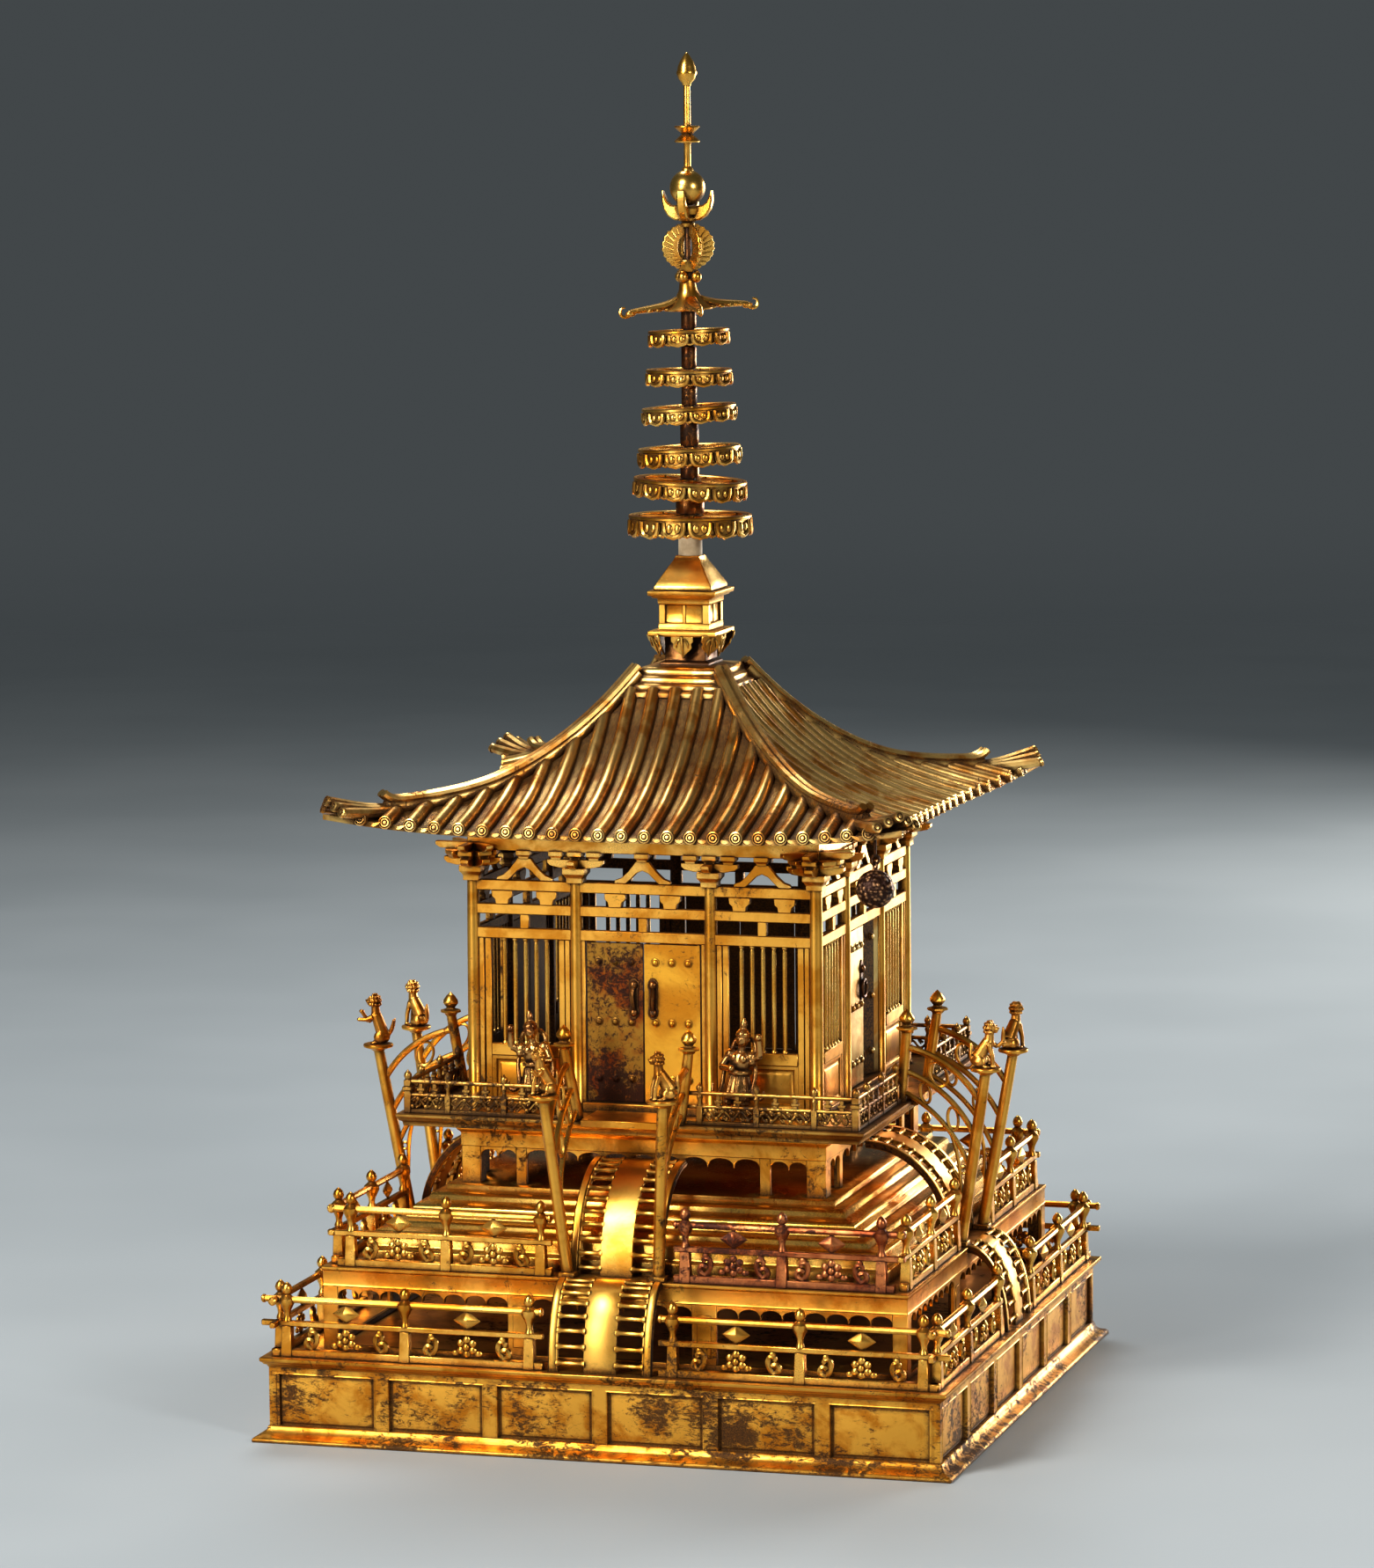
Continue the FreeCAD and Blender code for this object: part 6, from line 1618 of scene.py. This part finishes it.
    def arm(self, low: float) -> Work:
        """One drooping ribbed arm that ends in a curled dragon head."""
        arm = Work.sweep([(5.0, 0, low + 13), (9.5, 0, low + 8.0), (15, 0, low + 5.4),
                          (22, 0, low + 4.2), (29, 0, low + 3.4), (33.5, 0, low + 2.6)], 4.4,
                         (0.7, 1.0, 1.0, 0.9, 0.75, 0.6), ring=2)
        arm.moved(shift(0, 0, low + 5) @ Matrix.Diagonal((1, 1, 0.55, 1)) @ shift(0, 0, -low - 5))
        arm.add(Work.ball((33.6, 0, low + 2.8), (3.2, 2.2, 1.8), 6))
        arm.add(Work.sweep([(34.6, 0, low + 1.8), (37.0, 0, low + 0.8), (39.2, 0, low + 1.6),
                            (40.0, 0, low + 4.4), (38.6, 0, low + 6.8), (36.6, 0, low + 6.4)], 1.0,
                           (1.3, 1.1, 1.0, 0.8, 0.7, 0.6), ring=1))
        for side in (-1, 1):
            arm.add(Work.sweep([(31.5, side * 1.6, low + 3.6), (29.4, side * 2.6, low + 5.2),
                                (27.2, side * 2.0, low + 5.0)], 0.8, (1, 0.9, 0.5), ring=1))
            arm.add(Work.sweep([(7, side * 2.2, low + 9.8), (14, side * 3.4, low + 5.0),
                                (25, side * 2.8, low + 4.0)], 0.8, ring=1))
            for bump in (13, 18, 23):
                arm.add(Work.ball((bump, side * 3.6, low + 3.6), (2.0, 1.3, 1.0), 4))
        return arm

    def canopy(self) -> Work:
        """The flared canopy, hung a little askew, with four arms and four knobs."""
        low, high = 618.0, 637.4
        work = Work.lathe([(self.core + 0.05, low + 2.2), (9, low + 2.4), (13.6, low + 2.6),
                           (14.0, low + 3.4), (11.0, low + 5.6), (7.6, low + 9.4), (5.2, low + 14.0),
                           (4.4, high), (5.2, high + 0.8), (self.core + 0.05, high + 0.8)], 20)
        work.add(self.arm(low), *quarters(self.arm_turn))
        middle = shift(0, 0, low + 10)
        askew = turn(self.arm_turn) @ turn(-3.4, "Y") @ turn(-self.arm_turn)
        work.moved(middle @ askew @ middle.inverted())
        knob = Work.ball((5.4, 0, high + 1.8), (3.1, 3.1, 3.2), 7)
        knob.add(Work.ball((6.2, 0, high + 4.6), (1.2, 1.2, 1.0), 4))
        return work.add(knob, *quarters(self.knob_turn))

    def flames(self) -> Work:
        """Four upright crescent vanes with feathered outer edges, on a squared cup."""
        low, high = 642.6, 670.0
        middle, rise = (low + high) / 2, (high - low) / 2
        feathers = 11
        outer = []
        for k in range(feathers * 2 + 1):
            angle = math.radians(-88 + 164 * k / (feathers * 2))
            reach = 1.0 if k % 2 else 0.945
            outer.append((16.6 * reach * math.cos(angle), middle + rise * reach * math.sin(angle)))
        inner = [(7.0 * math.cos(math.radians(a)), middle - 0.4 + 7.6 * math.sin(math.radians(a)))
                 for a in (72, 40, 15, -10, -35, -60, -86)]
        vane = Work.plate(outer + inner, 1.6, 0.2)
        for k in range(1, feathers):
            angle = math.radians(-88 + 164 * 2 * k / (feathers * 2))
            foot = Vector((9.8 * math.cos(angle - 0.2), 0, middle + rise * 0.70 * math.sin(angle - 0.2)))
            tip = Vector((15.4 * math.cos(angle), 0, middle + rise * 0.93 * math.sin(angle)))
            for side in (-0.8, 0.8):
                vane.add(Work.rod(foot + Vector((0, side, 0)), tip + Vector((0, side, 0)), 0.7, 0.25, 6))
        work = Work().add(vane, *quarters(self.flame_turn))
        cup = Work.lathe([(2.0, low - 0.4), (5.0, low - 0.4), (5.8, low + 1.0), (5.6, low + 5.4),
                          (4.6, low + 6.2), (2.0, low + 6.4)], 8).moved(turn(self.flame_turn))
        work.add(cup)
        return work.add(Work.lathe([(2.0, high - 3), (3.8, high - 2.4), (4.2, high - 0.6), (3.2, high)],
                                   14))

    def claws(self) -> Work:
        """The cup with four broad horned claws."""
        work = Work.lathe([(0, 670.2), (4.0, 670.2), (5.4, 671.0), (5.0, 672.4), (3.6, 673.4), (6.4, 674.6),
                           (7.6, 677.6), (6.6, 679.2), (0, 678.2)], 20)
        half = [(3.0, 670.8), (7.4, 671.2), (11.2, 673.6), (13.8, 677.6), (14.8, 682.4), (14.4, 688.6)]
        inside = [(12.9, 684.6), (11.6, 681.6), (9.4, 679.8), (5.0, 679.4)]
        claw = Work.plate(half + inside, 5.2, 1.2)
        return work.add(claw, *quarters(self.claw_turn))

    def spire(self) -> Work:
        """The thin rod with a double cone collar."""
        return Work.lathe([(0, 699.0), (3.4, 699.0), (3.0, 700.4), (2.0, 701.4), (1.9, 713.6),
                           (2.4, 714.6), (7.0, 714.9), (7.3, 715.6), (5.4, 717.4), (3.0, 719.4),
                           (5.4, 721.6), (7.3, 723.4), (7.0, 724.1), (2.4, 724.2), (2.0, 725.4),
                           (1.9, 747.2), (0, 747.2)], 18)

    def jewel(self) -> Work:
        """The bud-shaped jewel with a raised band."""
        return Work.lathe([(0, 746.8), (2.4, 746.8), (2.8, 748.2), (4.6, 750.2), (5.4, 752.4),
                           (5.8, 753.4), (5.8, 754.4), (5.4, 755.2), (5.0, 757.4), (3.8, 760.4),
                           (2.0, 763.2), (0.7, 764.9), (0, 765.5)], 20)

    def build(self, maker: Maker) -> None:
        """Make the finial's pieces."""
        maker.piece("finial_base", self.pedestal(), SHEET_GILT, stands_for=["finial_pedestal"])
        maker.piece("finial_neck", self.neck(), DARK_MAST)
        maker.piece("hanging_leaves", self.leaves(), BRIGHT_GILT, stands_for=["lotus_leaves"])
        maker.piece("polished_dome", self.dome(), BRIGHT_GILT, stands_for=["finial_dome"])
        sleeve = Work.lathe([(self.core + 0.05, 481.4), (6.8, 481.4), (6.8, 491.9),
                             (self.core + 0.05, 491.9)], 28, closed=True).eased(0.25, sharper=50)
        maker.piece("buff_sleeve", sleeve, SLEEVE, stands_for=["pale_sleeve"])
        maker.piece("mast_and_sleeves", self.mast(), DARK_MAST, stands_for=["mast"])
        for number, (sizes, tilts) in enumerate(zip(self.wheels, self.tilts), start=1):
            radius, low, high = sizes
            roll, pitch = tilts
            middle = shift(0, 0, (low + high) / 2)
            tilt = middle @ turn(-roll, "Y") @ turn(pitch, "X") @ middle.inverted()
            maker.piece(f"petal_wheel_{number}", self.wheel(radius, low, high).moved(tilt), CAST_GILT,
                        body=f"wheel_{number}", stands_for=[f"wheel_{number}"])
        maker.piece("armed_canopy", self.canopy(), CAST_GILT, stands_for=["canopy"])
        maker.piece("flame_vanes", self.flames(), BRIGHT_GILT, stands_for=["flame"])
        maker.piece("horned_cup", self.claws(), BRIGHT_GILT, stands_for=["claw_cup"])
        maker.piece("gilt_ball", Work.ball((0, 0, 689.4), 10.1, 24), BRIGHT_GILT,
                    stands_for=["finial_ball"])
        maker.piece("spire", self.spire(), RAIL_GILT, stands_for=["spire_rod"])
        maker.piece("bud_jewel", self.jewel(), BRIGHT_GILT, stands_for=["jewel"])


# ------------------------------------------------------------------ bell
@dataclass
class Bell:
    """The round bell under the front right corner of the roof."""

    place: Vector = field(default_factory=lambda: Vector((145.0, -145.0, 313.6)))
    radius: float = 10.5

    def build(self, maker: Maker) -> None:
        """Make the hook and the bell."""
        hook_low, hook_high = corner_of("bell_hook", 0), corner_of("bell_hook", 1)
        axis = Matrix.Translation((self.place.x, self.place.y, 0)) @ turn(45)
        eye = hook_low.z + 3.4
        ring = Work.sweep([(2.6 * math.cos(a), 0, eye + 2.6 * math.sin(a))
                           for a in (TAU * k / 12 for k in range(12))], 0.8, ring=1, closed=True)
        ring.add(Work.rod((0, 0, eye + 2.4), (0, 0, hook_high.z), 0.9, sides=10))
        maker.piece("bell_hanger", Work().add(ring, axis), DARK_MAST, stands_for=["bell_hook"])
        ball = Work.ball((0, 0, self.place.z), self.radius, 20)
        ball.add(Work.lathe([(10.4, -0.9), (10.9, -0.4), (10.9, 0.4), (10.4, 0.9)],
                            32).moved(shift(0, 0, self.place.z)))
        ball.add(Work.rod((0, 0, self.place.z + 9.6), (0, 0, self.place.z + 11.4), 2.0, 1.4, 12))
        loop = [(0, 2.0 * math.cos(a), 326.4 + 2.0 * math.sin(a))
                for a in (TAU * k / 12 for k in range(12))]
        ball.add(Work.sweep(loop, 0.7, ring=1, closed=True))
        maker.piece("round_bell", Work().add(ball, axis), BELL_SKIN, body="corner_bell",
                    stands_for=["corner_bell"])


# ------------------------------------------------------------------ stage
@dataclass(frozen=True)
class Lamp:
    """A square soft light: place and aim in metres, side in metres, power in watts, tint."""

    place: Point
    aim: Point
    side: float
    power: float
    tint: Point


class Light(Enum):
    """The studio's lights."""

    FRONT = Lamp((-1.3, -2.7, 1.0), (0, 0, 0.3), 0.8, 30.0, (1.0, 0.95, 0.88))
    HIGH = Lamp((-0.8, -1.7, 1.9), (0, 0, 0.5), 0.6, 40.0, (1.0, 0.98, 0.95))
    BEHIND = Lamp((1.25, 2.6, 0.55), (0, 0, 0.3), 1.3, 62.0, (1.0, 0.98, 0.94))
    TOP = Lamp((-0.5, 1.1, 2.3), (0, 0, 0.4), 0.8, 20.0, (0.95, 0.97, 1.0))
    RIGHT = Lamp((2.2, -1.6, 1.2), (0, 0, 0.35), 0.5, 22.0, (1.0, 0.98, 0.95))


@dataclass
class Stage:
    """Floor, lights, surroundings and camera."""

    azimuth: float = 16.17
    elevation: float = 6.79
    distance: float = 3.444
    aim: float = 0.3503
    lens: float = 138.4
    roll: float = -0.445
    shift_x: float = -0.0033
    floor_reach: float = 8.0
    fade: tuple[float, float] = (1.8, 7.0)
    surround: Colour = colour(0.32, 0.36, 0.38)
    surround_strength: float = 0.20

    def camera(self) -> None:
        """Set the camera."""
        data = bpy.data.cameras.new("camera")
        data.lens = self.lens
        data.sensor_width = 36.0
        data.shift_x = self.shift_x
        camera = bpy.data.objects.new("camera", data)
        bpy.context.scene.collection.objects.link(camera)
        turned, raised = math.radians(self.azimuth), math.radians(self.elevation)
        back = Vector((math.sin(turned) * math.cos(raised), -math.cos(turned) * math.cos(raised),
                       math.sin(raised)))
        place = Vector((0, 0, self.aim)) + back * self.distance
        camera.matrix_world = Matrix.Translation(place) @ aimed(back) @ turn(self.roll)
        bpy.context.scene.camera = camera

    def floor(self) -> None:
        """A pale floor that fades into the surroundings."""
        bm = bmesh.new()
        bmesh.ops.create_grid(bm, x_segments=1, y_segments=1, size=self.floor_reach)
        mesh = bpy.data.meshes.new("floor")
        bm.to_mesh(mesh)
        bm.free()
        floor = bpy.data.objects.new("floor", mesh)
        bpy.context.scene.collection.objects.link(floor)
        shop = Shader("pale_floor")
        tone = shop.mix(shop.noise(3, 2, 0.5).between(0.3, 0.7), colour(0.42, 0.46, 0.48),
                        colour(0.46, 0.50, 0.52))
        grain = shop.bump(0.1, 0.0005, shop.noise(60))
        x, y = (shop.node("ShaderNodeSeparateXYZ", {}, {"Vector": shop.place()}, axis) for axis in "XY")
        near = 1.0 - ((x * x + y * y) ** 0.5).between(*self.fade)
        mesh.materials.append(shop.finish(tone, 0.0, 0.65, grain, near))

    def lights(self) -> None:
        """Soft lamps and a grey surround."""
        for light in Light:
            lamp = light.value
            data = bpy.data.lights.new(light.name.lower(), "AREA")
            data.shape = "SQUARE"
            data.size = lamp.side
            data.energy = lamp.power
            data.color = lamp.tint
            thing = bpy.data.objects.new(light.name.lower(), data)
            bpy.context.scene.collection.objects.link(thing)
            way = Vector(lamp.place) - Vector(lamp.aim)
            thing.matrix_world = Matrix.Translation(lamp.place) @ aimed(way)
        world = bpy.data.worlds.new("surround")
        world.use_nodes = True
        surround = world.node_tree.nodes["Background"]
        surround.inputs["Color"].default_value = self.surround
        surround.inputs["Strength"].default_value = self.surround_strength
        bpy.context.scene.world = world
        bpy.context.scene.view_settings.view_transform = "Standard"
        bpy.context.scene.view_settings.look = "Medium High Contrast"

    def build(self) -> None:
        """Set the stage."""
        self.camera()
        self.floor()
        self.lights()


def main() -> None:
    """Build the shrine and report each piece."""
    logging.basicConfig(level=logging.INFO, format="%(message)s")
    Stage().build()
    maker = Maker()
    Plinth().build(maker)
    Terrace().build(maker)
    Podium().build(maker)
    lower = Railing(188.0, 47.4, (41.0, 113.0, 182.0), (33.0, 197.0))
    upper = Railing(163.5, 95.0, (41.5, 96.5, 152.5), (35.0, 166.0))
    maker.piece("lower_railing", lower.runs(EIGHT), RAIL_GILT,
                stands_for=["lower_railing_posts", "lower_railing_rails", "railing_ornaments"])
    maker.piece("upper_railing", upper.runs(EIGHT[1:]), RAIL_GILT,
                stands_for=["upper_railing_posts", "upper_railing_rails"])
    maker.piece("copper_railing_run", upper.runs(EIGHT[:1]), COPPER)
    low_bridge = Bridge(29.0, 23.0, 47.6, 168.0, 47.4, 7)
    high_bridge = Bridge(26.0, 50.0, 57.0, 108.0, 95.0, 10)
    for name, bridge in (("lower", low_bridge), ("upper", high_bridge)):
        maker.piece(f"{name}_bridge_spans", Work().add(bridge.span(), *FOUR), SHEET_GILT,
                    stands_for=[f"{name}_bridges"])
        maker.piece(f"{name}_bridge_cheeks", Work().add(bridge.cheeks(), *FOUR), DARK_MAST)
    Balcony().build(maker)
    Stairs().build(maker)
    Hall().build(maker)
    Roof().build(maker)
    Finial().build(maker)
    Bell().build(maker)
    LOG.info("%d pieces, %d faces", maker.made, maker.faces)


if __name__ == "__main__":
    main()
